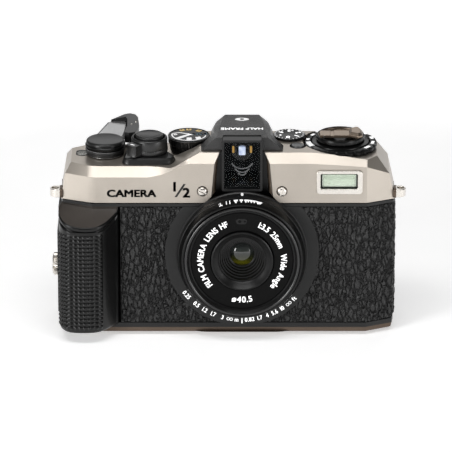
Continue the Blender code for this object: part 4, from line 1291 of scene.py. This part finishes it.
LENS_RIM = make_material("lens_rim_black", 14, 22, (0.26, 0.36), grain=2600, bump=0.08,
                         specular=0.6)
NAME_BLACK = make_material("name_ring_black", 3, 6, (0.45, 0.6), grain=2600, bump=0.1,
                           specular=0.12)
LENS_INNER = make_material("lens_barrel_black", 4, 8, (0.3, 0.42), grain=2600, bump=0.1,
                           specular=0.3)
make_lens_plate()
make_focus_ring()
make_lens_cell()


# ---------------------------------------------------------------- wind lever and frame counter

def make_wind_lever():
    """The cap, arm, thumb pad and hub, which swing as one."""
    cap = [(0, 72.42), (6.2, 72.42), (6.75, 72.3), (7.1, 71.95), (7.2, 71.5), (7.1, 71.42),
           (0, 71.42)]
    piece("lever_cap_skin", turned(cap, LEVER, segments=128), CONTROL_BLACK, body="wind_lever",
          replaces="wind_lever_cap", sharp=50)
    disc = [(0, 69.5), (6.9, 69.5), (7.35, 69.75), (7.55, 70.2), (7.55, 70.6), (7.3, 70.95),
            (7.15, 71.05), (7.1, 71.3), (0, 71.3)]
    arm = upright([(-57.2, 21.2), (-45.0, 20.6), (-43.9, 29.0), (-43.4, 39.6), (-44.3, 41.0),
                   (-49.6, 41.0), (-51.0, 39.7), (-55.0, 25.6)], 69.65, 71.0)
    piece("lever_arm_skin", turned(disc, LEVER, segments=128), BLACK_SATIN, body="wind_lever",
          replaces="wind_lever_arm", unite=[arm], bevel=0.16, segments=3,
          angle=32)
    inlay = upright([(-54.7, 24.0), (-45.35, 22.6), (-44.5, 29.0), (-44.0, 38.8), (-44.9, 40.2),
                     (-49.2, 40.2), (-50.4, 39.1), (-54.3, 25.6)], 70.9, 71.35)
    piece("lever_arm_plate", inlay, BRUSHED, body="wind_lever",
          cut=[rod(7.75, 70, 73, LEVER, segments=96)], bevel=0.14, segments=3)
    pad_plan = [(-49.8, 39.9), (-44.2, 39.9), (-43.5, 37.0), (-43.5, 29.0), (-44.4, 22.2),
                (-42.6, 21.4), (-40.4, 22.2), (-39.3, 25.2), (-38.9, 30.0), (-39.5, 39.4),
                (-40.6, 42.6), (-42.6, 43.8), (-45.0, 42.9)]
    pad = upright(pad_plan, 66.9, 73.3)
    slope = sideways([(10.0, 60.0), (28.0, 60.0), (28.0, 67.0), (21.0, 69.6), (10.0, 69.6)],
                     -60.0, -30.0)
    back_slope = loft([[(-52.0, 36.0, 71.6), (-52.0, 46.0, 71.6), (-52.0, 46.0, 80.0),
                        (-52.0, 36.0, 80.0)],
                       [(-43.4, 36.0, 73.5), (-43.4, 46.0, 73.5), (-43.4, 46.0, 80.0),
                        (-43.4, 36.0, 80.0)]])
    piece("lever_thumb_pad", pad, CONTROL_BLACK, body="wind_lever",
          replaces="thumb_pad", cut=[slope, back_slope], bevel=0.5, segments=4, angle=25)
    for number, (x, y) in enumerate(((-41.8, 31.0), (-40.2, 33.5))):
        stud = [(0, 73.55), (0.3, 73.5), (0.42, 73.2), (0, 73.2)]
        piece(f"thumb_pad_pin_{number}", turned(stud, (x, y), segments=24), SILVER,
              body="wind_lever")
    hub = [(2.1, 66.9), (6.9, 66.9), (7.1, 67.1), (7.1, 68.1), (7.5, 68.4), (7.5, 69.2),
           (7.2, 69.35), (2.1, 69.35)]
    piece("lever_hub_skin", turned(hub, LEVER, segments=128), CONTROL_BLACK, body="wind_lever",
          sharp=24)


def make_frame_counter():
    """The oblong window in the cover and the numbered disc under it."""
    x, y = COUNTER
    oblong = rounded((x - 1.85, x + 1.85), (y - 2.85, y + 2.85), 1.75, 8)
    outer = rounded((x - 2.25, x + 2.25), (y - 3.25, y + 3.25), 2.1, 8)
    rim = upright(outer, COVER_STEP - 1.0, COVER_STEP + 0.12)
    piece("counter_rim", rim, RIM_BLACK,
          cut=[upright(oblong, 60.0, 70.0)], bevel=0.05, segments=2)
    pane = upright(inset(oblong, -0.02), COVER_STEP - 0.5, COVER_STEP + 0.02)
    piece("counter_pane", pane, COUNTER_GLASS, bevel=0.1, segments=2)
    plate = [(0, 62.55), (4.05, 62.55), (4.15, 62.7), (4.15, 63.3), (4.0, 63.42), (0, 63.42)]
    piece("counter_disc", turned(plate, COUNTER, segments=64), GREY_DIAL, body="counter_dial",
          replaces="counter_dial")
    texts = ["S"] + [str(number * 6) for number in range(1, 12)]
    place_marks("counter_numbers", dial_letters(texts, COUNTER, 3.0, 63.45, 1.1, 0, 30),
                "counter_dial")


COUNTER_GLASS = make_glass("counter_glass", (186, 186, 178), rough=0.12, alpha=0.45)
GREY_DIAL = make_material("counter_dial_grey", 120, 140, (0.45, 0.6), bump=0.05)
make_wind_lever()
make_frame_counter()


# ---------------------------------------------------------------- shutter button and switch

def make_release():
    """The shutter button, the switch ring round it and the base plate under both."""
    plan = ([(-42.2, 4.4), (-29.0, 4.4)] + arc((-29.3, 8.6), 4.3, -70, 42, 8)
            + [(-28.6, 16.4), (-29.3, 20.9), (-41.2, 20.9)] + arc((-41.4, 18.6), 2.2, 110, 165, 4)
            + arc((-42.4, 6.9), 2.4, 170, 255, 4))
    base = loft([[(x, y, COVER_STEP + 0.1) for x, y in inset(plan, -0.25)],
                 [(x, y, COVER_STEP + 0.5) for x, y in inset(plan, -0.2)],
                 [(x, y, 68.75) for x, y in inset(plan, 0.85)]])
    piece("release_base_skin", base, CONTROL_BLACK, replaces="release_base",
          cut=[rod(2.4, 60, 74, RELEASE)], bevel=0.22, segments=4, angle=24)
    collar = [(2.4, 68.6), (6.4, 68.6), (6.45, 69.1), (6.2, 69.25), (2.4, 69.25)]
    piece("switch_seat", turned(collar, RELEASE, segments=96), BLACK_MATT)
    ring = [(5.55, 69.3), (6.7, 69.3), (6.85, 69.5), (6.85, 70.8), (6.72, 71.0), (6.8, 71.2),
            (6.8, 74.35), (6.62, 74.75), (6.3, 74.95), (6.0, 74.9), (5.7, 74.5), (5.55, 73.6)]
    tab = loft([[(x, y, z) for x, y in
                 inset([(-36.6, 8.0), (-39.2, 10.6), (-43.0, 7.2), (-42.8, 6.2), (-40.8, 4.3),
                        (-39.8, 4.2)][::-1], grow)]
                for z, grow in ((69.6, 0.1), (69.9, 0.0), (73.3, 0.0), (73.9, 0.35))])
    teeth = knurl(48, 0.1, 6.6, 70.9)
    piece("switch_ring", turned(ring, RELEASE, segments=192, wave=teeth), CONTROL_BLACK,
          body="power_switch", replaces="power_switch", unite=[tab],
          bevel=0.12, segments=2, angle=40)
    mark = [[(-0.32, -0.9), (0.32, -0.9), (0.32, 0.9), (-0.32, 0.9)]]
    place_marks("switch_mark", [(mark, 1.0, basis((-41.0, 6.1, 73.93), (1, 1.1, 0), (-1.1, 1, 0)),
                                 1.0)], "power_switch")
    button = [(0, 75.5), (2.6, 75.55), (4.0, 75.75), (4.5, 75.92), (4.85, 75.85), (5.1, 75.5),
              (5.15, 74.8), (5.15, 71.0), (1.9, 71.0), (1.9, 64.0), (0, 64.0)]
    piece("button_skin", turned(button, RELEASE, segments=96), CONTROL_BLACK,
          body="shutter_button", replaces="shutter_button", sharp=30)


make_release()


# ---------------------------------------------------------------- dials

def sector(low, high, start, end, steps=10):
    """A piece of a ring as a row of quads, in degrees."""
    shapes = []
    for step in range(steps):
        a, b = (math.radians(start + (end - start) * k / steps) for k in (step, step + 1))
        shapes.append([(low * math.cos(a), low * math.sin(a)),
                       (high * math.cos(a), high * math.sin(a)),
                       (high * math.cos(b), high * math.sin(b)),
                       (low * math.cos(b), low * math.sin(b))])
    return shapes


def flat_at(centre, z):
    """Lays printing flat on top, read from the front."""
    return basis((centre[0], centre[1], z), (1, 0, 0), (0, 1, 0))


def make_mode_dial():
    """The dial with its white, yellow and blue printing."""
    profile = [(0, 62.0), (1.9, 62.0), (1.9, 67.0), (6.9, 67.0), (7.1, 67.4), (7.3, 69.7),
               (7.75, 70.3), (7.8, 72.4), (7.9, 72.75), (7.75, 73.05), (7.35, 73.1),
               (7.2, 72.95), (0, 72.95)]
    teeth = knurl(45, 0.16, 7.2, 72.6)
    piece("mode_dial_skin", turned(profile, MODE_DIAL, segments=180, wave=teeth), BLACK_SATIN,
          body="mode_dial", replaces="mode_dial", sharp=24)
    # Painted highlight: a grey ring along the dial's top edge, where the light catches it
    rim = [(7.62, 72.5), (7.96, 72.55), (7.98, 72.75), (7.62, 72.8)]
    piece("mode_dial_painted_highlight", turned(rim, MODE_DIAL, segments=128), GREY_AND_HIGHLIGHT, body="mode_dial",
          sharp=24)
    top = flat_at(MODE_DIAL, 73.0)
    white = sector(6.15, 6.65, 168, 352, 36)
    white += [[(-5.3, -3.9), (-3.6, -4.6), (0.9, 0.1), (0.0, 1.0)],
              [(-6.2, 1.3), (-3.8, 2.2), (-3.7, 2.8), (-6.1, 1.9)],
              [(-3.8, 2.2), (-1.2, 1.0), (-0.9, 1.6), (-3.7, 2.8)],
              [(-1.2, 1.0), (1.2, -0.4), (1.5, 0.1), (-0.9, 1.6)],
              [(-0.9, -5.9), (1.1, -5.9), (1.0, -3.2), (-0.8, -3.2)],
              [(2.9, -5.4), (4.6, -4.0), (4.2, -2.0), (2.4, -2.8)]]
    white += [[(-5.1 + x, 0.3 + y) for x, y in shape] for shape in sector(0.25, 0.75, 0, 360, 12)]
    place_marks("mode_dial_white", [(white, 1.0, top, 1.0)], "mode_dial")
    gold = []
    for middle in (51, 91, 117):
        gold += sector(4.9, 5.7, middle - 10, middle + 10, 4)
        gold += sector(5.7, 6.8, middle - 9, middle - 2, 2)
        gold += sector(5.7, 6.8, middle + 2, middle + 9, 2)
    place_marks("mode_dial_yellow", [(gold, 1.0, top, 1.0)], "mode_dial",
                YELLOW_INK)
    blue = [("HALF", 2.7, basis((MODE_DIAL[0] + 4.0, MODE_DIAL[1] + 0.9, 73.0), (1, 0, 0),
                                (0, 1, 0)), 0.85)]
    place_marks("mode_dial_blue", blue, "mode_dial", BLUE_INK)


def make_exposure_dial():
    """The small dial, its numbers and ticks, and the lock button beside it."""
    profile = [(0, 66.0), (1.9, 66.0), (1.9, 72.1), (5.9, 72.1), (6.1, 72.2), (6.1, 72.7),
               (5.9, 72.9), (5.7, 72.95), (0, 72.95)]
    teeth = knurl(40, 0.14, 5.95)
    piece("exposure_dial_skin", turned(profile, EV_DIAL, segments=160, wave=teeth), BLACK_SATIN,
          body="exposure_dial", replaces="exposure_dial", sharp=24)
    marks = dial_letters(("0", "1", "2", "-2", "-1", "•"), EV_DIAL, 3.7, 73.0, 3.0, 262, 60)
    ticks = []
    for number in range(24):
        ticks += sector(5.05, 5.75, number * 15 - 1.6, number * 15 + 1.6, 1)
    marks.append((ticks, 1.0, flat_at(EV_DIAL, 73.0), 1.0))
    place_marks("exposure_dial_print", marks, "exposure_dial")
    lock = [(0, 72.3), (1.9, 72.35), (2.3, 72.25), (2.45, 71.9), (2.5, 71.0), (2.5, 66.5),
            (0, 66.5)]
    piece("lock_button_skin", turned(lock, EV_LOCK, segments=64), GREY_AND_HIGHLIGHT,
          body="exposure_lock_button", replaces="exposure_lock_button",
          sharp=30)
    ring = [(2.6, 70.6), (2.95, 70.6), (3.1, 71.85), (2.95, 71.95), (2.6, 71.7)]
    piece("lock_button_ring", turned(ring, EV_LOCK, segments=64), BLACK_MATT,
          sharp=24)


def make_iso_ring():
    """The scalloped ring round the rewind knob, with its speeds and its index block."""
    def scallop(angle, radius, height):
        if radius < 13.1:
            return radius
        turn = (angle * 24 / (2 * math.pi)) % 1
        return radius - 0.55 * (0.5 - 0.5 * math.cos(2 * math.pi * turn)) ** 3

    profile = [(11.2, 69.5), (13.3, 69.5), (13.75, 69.85), (13.8, 71.0), (13.6, 71.35),
               (12.9, 71.6), (11.4, 71.75), (11.2, 71.6)]
    piece("iso_ring_skin", turned(profile, REWIND, segments=288, wave=scallop), BLACK_SATIN,
          body="iso_ring", replaces="iso_ring", sharp=22)
    speeds = ("50", "100", "125", "160", "200", "400", "800", "1600", "3200")
    place_marks("iso_ring_numbers", dial_letters(speeds, REWIND, 12.35, 71.72, 1.7, 172, -26, 0.9),
                "iso_ring")
    index = turned([(11.3, 71.55), (13.1, 71.55), (13.1, 71.78), (11.3, 71.86)], (0, 0),
                   segments=120)
    places = [(face, face.calc_center_median()) for face in index.faces]
    drop = [face for face, place in places if abs(math.atan2(place.y, -place.x)) > 0.22]
    bmesh.ops.delete(index, geom=drop, context="FACES")
    bmesh.ops.rotate(index, cent=(0, 0, 0), matrix=Matrix.Rotation(math.radians(18), 3, "Z"),
                     verts=index.verts)
    bmesh.ops.translate(index, vec=(REWIND[0], REWIND[1], 0), verts=index.verts)
    piece("iso_index_block", index, WHITE_INK, body="iso_ring")


def make_rewind():
    """The lifting collar, the knob with its dish, and the folding crank."""
    collar = [(2.3, 60.0), (3.9, 60.0), (3.9, 69.5), (10.6, 69.5), (10.9, 69.8), (10.9, 71.5),
              (10.7, 71.95), (10.2, 72.15), (9.3, 72.2), (2.3, 72.2)]
    piece("rewind_collar_skin", turned(collar, REWIND, segments=160), BLACK_SATIN,
          body="rewind_sleeve", replaces="rewind_sleeve", sharp=24)
    knob = [(0, 72.5), (8.8, 72.5), (9.1, 72.75), (9.15, 73.7), (9.0, 74.2), (8.7, 74.4),
            (8.35, 74.35), (8.25, 74.1), (8.2, 73.05), (0, 73.05)]
    piece("rewind_knob_skin", turned(knob, REWIND, segments=160), BLACK_SATIN,
          body="rewind_knob", replaces="rewind_knob", sharp=24)
    dish = [(0, 73.0), (7.7, 73.05), (7.95, 73.25), (8.1, 74.15), (8.24, 74.15), (8.24, 72.9),
            (0, 72.9)]
    piece("rewind_dish", turned(dish, REWIND, segments=128), WARM_METAL, body="rewind_knob",
          sharp=24)
    boss = [(0, 73.0), (2.9, 73.0), (2.9, 73.5), (0, 73.5)]
    piece("rewind_boss", turned(boss, REWIND, segments=64), BRUSHED, body="rewind_knob",
          sharp=24)
    bar = upright([(29.3, 14.4), (40.4, 14.4), (43.2, 15.4), (43.2, 19.2), (40.4, 19.8),
                   (29.3, 19.8)], 73.75, 74.75)
    piece("rewind_crank_bar", bar, WARM_METAL, body="rewind_crank",
          replaces="rewind_crank", cut=[block((33.2, 34.6), (12, 22), (74.55, 75.5))],
          bevel=0.14, segments=3)
    handle_plan = [(40.3, 14.2), (43.6, 11.9), (45.2, 13.6), (45.4, 18.0), (44.4, 21.2),
                   (42.6, 21.8), (40.3, 19.6)]
    handle = loft([[(x, y, z) for x, y in inset(handle_plan, step)]
                   for z, step in ((73.9, 0.15), (74.2, 0.0), (75.1, 0.0), (76.0, 0.9))])
    piece("rewind_crank_handle", handle, WARM_METAL, body="rewind_crank",
          bevel=0.22, segments=3, angle=22)
    pin = rod(0.45, 14.0, 20.2, (30.8, 74.2), "Y", 24)
    piece("rewind_crank_pin", pin, STEEL, body="rewind_crank")


# Grey for the lock button, and for the painted highlight ring on the mode dial
GREY_AND_HIGHLIGHT = make_material("grey_and_painted_highlight", 74, 96, (0.3, 0.42), metallic=0.4, grain=2600,
                         bump=0.08)
make_mode_dial()
make_exposure_dial()
make_iso_ring()
make_rewind()


# ---------------------------------------------------------------- lettering on the casing

def front_at(x, y, z):
    """Lays printing on the front face."""
    return basis((x, y, z), (1, 0, 0), (0, 0, 1))


def make_casing_print():
    """The lettering on the cover and on the finder roof, and a white oval on the roof painted as a
    highlight, with a black dot in it.
    """
    place_marks("cover_lettering", [("CAMERA", 3.9, front_at(-41.5, -0.02, 56.6), 1.2)],
                "camera", BLACK_INK, bold=0.05)
    half = [("1", 5.2, front_at(-25.3, -0.02, 59.2), 1.1),
            ("2", 5.2, front_at(-20.9, -0.02, 56.8), 1.1),
            ([[(-2.1, -2.6), (-1.2, -2.6), (2.1, 2.6), (1.2, 2.6)]], 1.0,
             front_at(-23.2, -0.02, 57.9), 1.0)]
    place_marks("cover_half_sign", half, "camera", BLACK_INK, bold=0.04)
    # Read from behind, like the dials
    place_marks("finder_lettering",
                [("HALF FRAME", 2.7, basis((0, 14.2, 77.5), (-1, 0, 0), (0, -1, -0.05)), 1.05)],
                "camera", WHITE_INK, bold=0.03)
    # Painted highlight: a glowing white oval on the roof, with a black dot in its middle
    roof_highlight = (0, 23.6)
    place_marks("finder_top_painted_highlight", [([ellipse(2.6, 1.5, 32)], 1.0, flat_at(roof_highlight, 77.93), 1.0)],
                "camera", WHITE_INK)
    place_marks("finder_top_dot", [([ellipse(0.8, 0.8, 24)], 1.0, flat_at(roof_highlight, 77.97), 1.0)],
                "camera", BLACK_INK)


make_casing_print()


# ---------------------------------------------------------------- lugs, base and tripod socket

def make_lug(side, name):
    """A strap loop on a seat; side is -1 on the left and 1 on the right."""
    wall = BODY_LEFT - 0.1 if side < 0 else BODY_RIGHT + 0.1
    loop = [(wall, 4.5)] + [(wall + side * x, 7.0 + y)
                            for x, y in arc((1.5, 0.0), 2.5, -90, 90, 16)] + [(wall, 9.5)]
    eye = rod(1.25, 50.0, 60.0, (wall + side * 2.1, 7.0), segments=48)
    piece(f"strap_loop_{name}", upright(loop, 53.4, 56.6), SILVER,
          replaces=f"strap_lug_{name}", cut=[eye], bevel=0.45, segments=4, angle=40)
    seat = rounded((4.0, 10.0), (53.15, 56.85), 1.2)
    ends = sorted((wall - side * 0.6, wall + side * 0.35))
    # The seat is in the champagne's painted-shade copy
    piece(f"strap_lug_seat_{name}", sideways(seat, *ends), CHAMPAGNE_SHADED,
          bevel=0.15)


def make_base():
    """The bottom cover with its boss, the tripod bush, the screws and the release button."""
    plate = loft([[(x, y, z) for x, y in inset(BODY_PLAN, grow)]
                  for z, grow in ((0.85, 1.1), (1.25, 0.55), (1.9, 0.4), (2.85, 0.4))])
    boss = loft([[(x, y, z) for x, y in rounded((-17.0 - grow, 17.0 + grow),
                                                (4.0 - grow, 27.0 + grow), 4.0 + grow)]
                 for z, grow in ((0.0, 0.0), (0.4, 0.35), (1.4, 5.0))])
    holes = [rod(5.4, -1.0, 4.0, (0.0, 17.0), segments=64),
             rod(2.2, -1.0, 4.0, (-12.0, 22.0), segments=32)]
    # The base plate is in the champagne's painted-shade copy
    piece("base_plate", plate, CHAMPAGNE_SHADED, replaces="bottom_cover",
          unite=[boss], cut=holes, bevel=0.18, segments=2, angle=30)
    thread = [(5.1, 0.1), (5.1, 6.8), (3.15, 6.8)]
    for turn in range(9, -1, -1):
        low = 0.45 + turn * 0.62
        thread += [(3.15, low + 0.31), (3.45, low)]
    thread.append((3.3, 0.1))
    piece("tripod_bush", turned(thread, (0.0, 17.0), segments=64), STEEL,
          replaces="tripod_socket", sharp=20)
    for number, (x, y) in enumerate(((-50.0, 8.0), (-50.0, 24.0), (-27.0, 6.0), (30.0, 6.0),
                                     (50.0, 12.0), (46.0, 24.0), (-24.0, 26.6))):
        head = [(0, 0.62), (1.1, 0.66), (1.45, 0.85), (1.45, 1.2), (0, 1.2)]
        bars = [block((x - a, x + a), (y - b, y + b), (0.2, 0.98))
                for a, b in ((0.85, 0.2), (0.2, 0.85))]
        piece(f"base_screw_{number}", turned(head, (x, y), segments=32), BLACK_SATIN,
              cut=bars, bevel=0.05, segments=1)
    knob = [(0, 1.05), (1.4, 1.1), (1.75, 1.35), (1.8, 5.2), (0, 5.2)]
    piece("rewind_release_skin", turned(knob, (-12.0, 22.0), segments=48), BLACK_SATIN,
          body="rewind_release_button", replaces="rewind_release_button")


for lug_side, lug_name in SIDES:
    make_lug(lug_side, lug_name)
make_base()


# ---------------------------------------------------------------- back door

HINGE = (-66.6, 31.3)
DOOR_BACK = 33.2


def make_back_door():
    """The door on its hinge pin, its leather, memo holder, film window and pressure plate."""
    corner = [(56.5, 29.75), (56.85, 30.4), (56.7, 31.4)] + arc((54.4, 30.9), 2.3, 20, 90, 6)
    knuckle = [(-62.0, DOOR_BACK), (-64.5, 33.15)] + arc(HINGE, 1.85, 78, 268, 12)
    plan = corner + knuckle + [(-64.2, 29.8)]
    shell = loft([[(x, y, z) for x, y in plan] for z in (3.2, 51.2)])
    piece("door_shell", shell, BLACK_SATIN, body="back_door",
          replaces="back_door", cut=[rod(1.0, 1.0, 53.0, HINGE, segments=32)], bevel=0.35,
          segments=3, angle=30)
    cell = 0.45
    left, right, low, high = -60.5, 51.5, 4.6, 49.8
    bm = bmesh.new()
    grid = []
    for i in range(round((right - left) / cell) + 1):
        x = left + i * cell
        column = []
        for j in range(round((high - low) / cell) + 1):
            z = low + j * cell
            settle = min(1.0, min(x - left, right - x, z - low, high - z) / 0.9)
            lift = (0.1 + 0.36 * grain_height(-x, z)) * settle - 0.1
            column.append(bm.verts.new((x, DOOR_BACK + 0.05 + lift, z)))
        grid.append(column)
    for left_row, right_row in zip(grid, grid[1:]):
        for j in range(len(left_row) - 1):
            bm.faces.new((left_row[j], left_row[j + 1], right_row[j + 1], right_row[j]))
    piece("door_leather", bm, LEATHER, body="back_door", sharp=80)
    holder = facing(rounded((-24.0, 24.0), (12.0, 42.0), 1.2), DOOR_BACK, DOOR_BACK + 1.3)
    pocket = facing(rounded((-21.6, 21.6), (14.4, 43.5), 0.8), DOOR_BACK + 0.7, DOOR_BACK + 3)
    piece("memo_holder", holder, BLACK_SATIN, body="back_door",
          cut=[pocket], bevel=0.3, segments=3)
    for number, (x0, x1, top) in enumerate(((-21.9, -19.8, 40.0), (19.8, 21.9, 40.0),
                                            (-21.9, 21.9, 16.2))):
        lip = facing([(x0, 14.2), (x1, 14.2), (x1, top), (x0, top)], DOOR_BACK + 1.0,
                     DOOR_BACK + 1.5)
        piece(f"memo_holder_lip_{number}", lip, BLACK_SATIN, body="back_door",
              bevel=0.15)
    window = facing(rounded((34.0, 39.5), (20.0, 38.0), 2.6), DOOR_BACK - 0.2, DOOR_BACK + 0.6)
    piece("film_window", window, COUNTER_GLASS, body="back_door",
          bevel=0.15)
    frame_hole = facing(rounded((34.3, 39.2), (20.3, 37.7), 2.4), DOOR_BACK - 1, DOOR_BACK + 2)
    piece("film_window_frame", facing(rounded((33.0, 40.5), (19.0, 39.0), 3.4), DOOR_BACK - 0.3,
                                      DOOR_BACK + 0.9), BLACK_SATIN, body="back_door",
          cut=[frame_hole], bevel=0.25)
    pin = [(0, 2.95), (0.75, 2.95), (0.75, 51.3), (0.6, 51.45), (0, 51.45)]
    piece("hinge_pin_skin", turned(pin, HINGE, segments=32), STEEL,
          replaces="door_hinge_pin")
    plate = facing(rounded((-9.4, 20.0), (16.0, 49.0), 1.0), 28.2, 29.4)
    piece("film_pressure_plate", plate, STEEL, body="back_door",
          replaces="pressure_plate", bevel=0.15)


make_back_door()


# ---------------------------------------------------------------- parts kept from the frame

def dress(name, material, slot):
    """Give a part of the frame its finished surface, with its edges kept crisp."""
    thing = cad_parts[name]
    thing.data.materials.clear()
    thing.data.materials.append(material)
    thing.data.shade_smooth()
    thing.data.set_sharp_from_angle(angle=math.radians(30))


for dressed_node, surface, dressed_slot in (
        ("chassis", RIM_BLACK, "black_plastic"), ("finder_prism", WINDOW, "optical_glass"),
        ("flash_capacitor", CELL, "cell_wrap"), ("main_board", BOARD, "circuit_board"),
        ("door_latch", STEEL, "steel"), ("battery", CELL, "cell_wrap"),
        ("shutter_base", BLACK_MATT, "black_plastic"),
        ("shutter_blade_upper", STEEL, "steel"), ("shutter_blade_lower", STEEL, "steel"),
        ("wind_shaft", STEEL, "steel"), ("take_up_spool", BLACK_SATIN, "black_plastic"),
        ("sprocket", BLACK_SATIN, "black_plastic"), ("rewind_shaft", STEEL, "steel")):
    dress(dressed_node, surface, dressed_slot)


# ---------------------------------------------------------------- stage, light and camera

def make_stage():
    """A wide pale floor just under the object."""
    reach, sunk = 3.0, -0.0004
    floor = bmesh.new()
    corners = ((-reach, -reach), (reach, -reach), (reach, reach), (-reach, reach))
    floor.faces.new([floor.verts.new((x, y, sunk)) for x, y in corners])
    mesh = bpy.data.meshes.new("floor")
    floor.to_mesh(mesh)
    thing = bpy.data.objects.new("floor", mesh)
    mesh.materials.append(FLOOR)
    bpy.context.scene.collection.objects.link(thing)


LIGHT_DISTANCE = 0.9


def softbox(name, aim, azimuth, elevation, size, power):
    """An area light; azimuth 0 is in front of the object and 90 on the right of it."""
    data = bpy.data.lights.new(name, "AREA")
    data.shape = "RECTANGLE"
    data.size, data.size_y = size
    data.energy = power
    lamp = bpy.data.objects.new(name, data)
    a, e = math.radians(azimuth), math.radians(elevation)
    way = Vector((math.sin(a) * math.cos(e), -math.cos(a) * math.cos(e), math.sin(e)))
    lamp.location = Vector(aim) + way * LIGHT_DISTANCE
    lamp.rotation_euler = way.to_track_quat("Z", "Y").to_euler()
    bpy.context.scene.collection.objects.link(lamp)


FLOOR = make_material("white_floor", 238, 244, (0.7, 0.8), grain=300, bump=0.02)
floor_shader = FLOOR.node_tree.nodes["Principled BSDF"]
floor_shader.inputs["Emission Color"].default_value = (1.0, 1.0, 1.0, 1.0)
# The floor gives its own light where the lamps no longer reach it, so that it stays even
floor_tree = FLOOR.node_tree
floor_place = floor_tree.nodes.new("ShaderNodeTexCoord")
floor_reach = floor_tree.nodes.new("ShaderNodeVectorMath")
floor_reach.operation = "LENGTH"
floor_glow = node(floor_tree, "ShaderNodeMapRange", From_Min=0.22, From_Max=0.5, To_Min=0.45,
                  To_Max=1.02)
link(floor_place, "Object", floor_reach, 0)
link(floor_reach, "Value", floor_glow, "Value")
link(floor_glow, "Result", floor_shader, "Emission Strength")
make_stage()
middle = to_frame(-6, 10, 40)
for box_name, azimuth, elevation, box_size, power in (
        ("overhead_box", 0, 66, (0.7, 0.3), 3.1), ("left_box", -47, 11, (0.3, 0.28), 3.6),
        ("left_high_box", -50, 60, (0.3, 0.3), 1.0), ("right_box", 52, 11, (0.3, 0.28), 2.2),
        ("back_box", 180, 30, (1.0, 0.3), 1.5)):
    softbox(box_name, middle, azimuth, elevation, box_size, power)

world = bpy.data.worlds.new("studio")
bpy.context.scene.world = world
world.use_nodes = True
world.node_tree.nodes["Background"].inputs["Color"].default_value = (1.0, 1.0, 1.0, 1.0)
world.node_tree.nodes["Background"].inputs["Strength"].default_value = 0.06
bpy.context.scene.view_settings.view_transform = "Standard"

VIEW_ELEVATION = math.radians(20.5)
VIEW_DISTANCE = 1900.0                  # millimetres from the aim point
PIXELS_PER_MM = 2.65
IMAGE_WIDTH = 452
aim = to_frame(-6.04, 10.0, 40.0)
camera_data = bpy.data.cameras.new("camera")
camera_data.sensor_width = 36.0
camera_data.lens = PIXELS_PER_MM * VIEW_DISTANCE * camera_data.sensor_width / IMAGE_WIDTH
camera_data.clip_start, camera_data.clip_end = 0.05, 20.0
camera = bpy.data.objects.new("camera", camera_data)
way = Vector((0, -math.cos(VIEW_ELEVATION), math.sin(VIEW_ELEVATION)))
camera.location = aim + way * VIEW_DISTANCE * MM
camera.rotation_euler = way.to_track_quat("Z", "Y").to_euler()
bpy.context.scene.collection.objects.link(camera)
bpy.context.scene.camera = camera
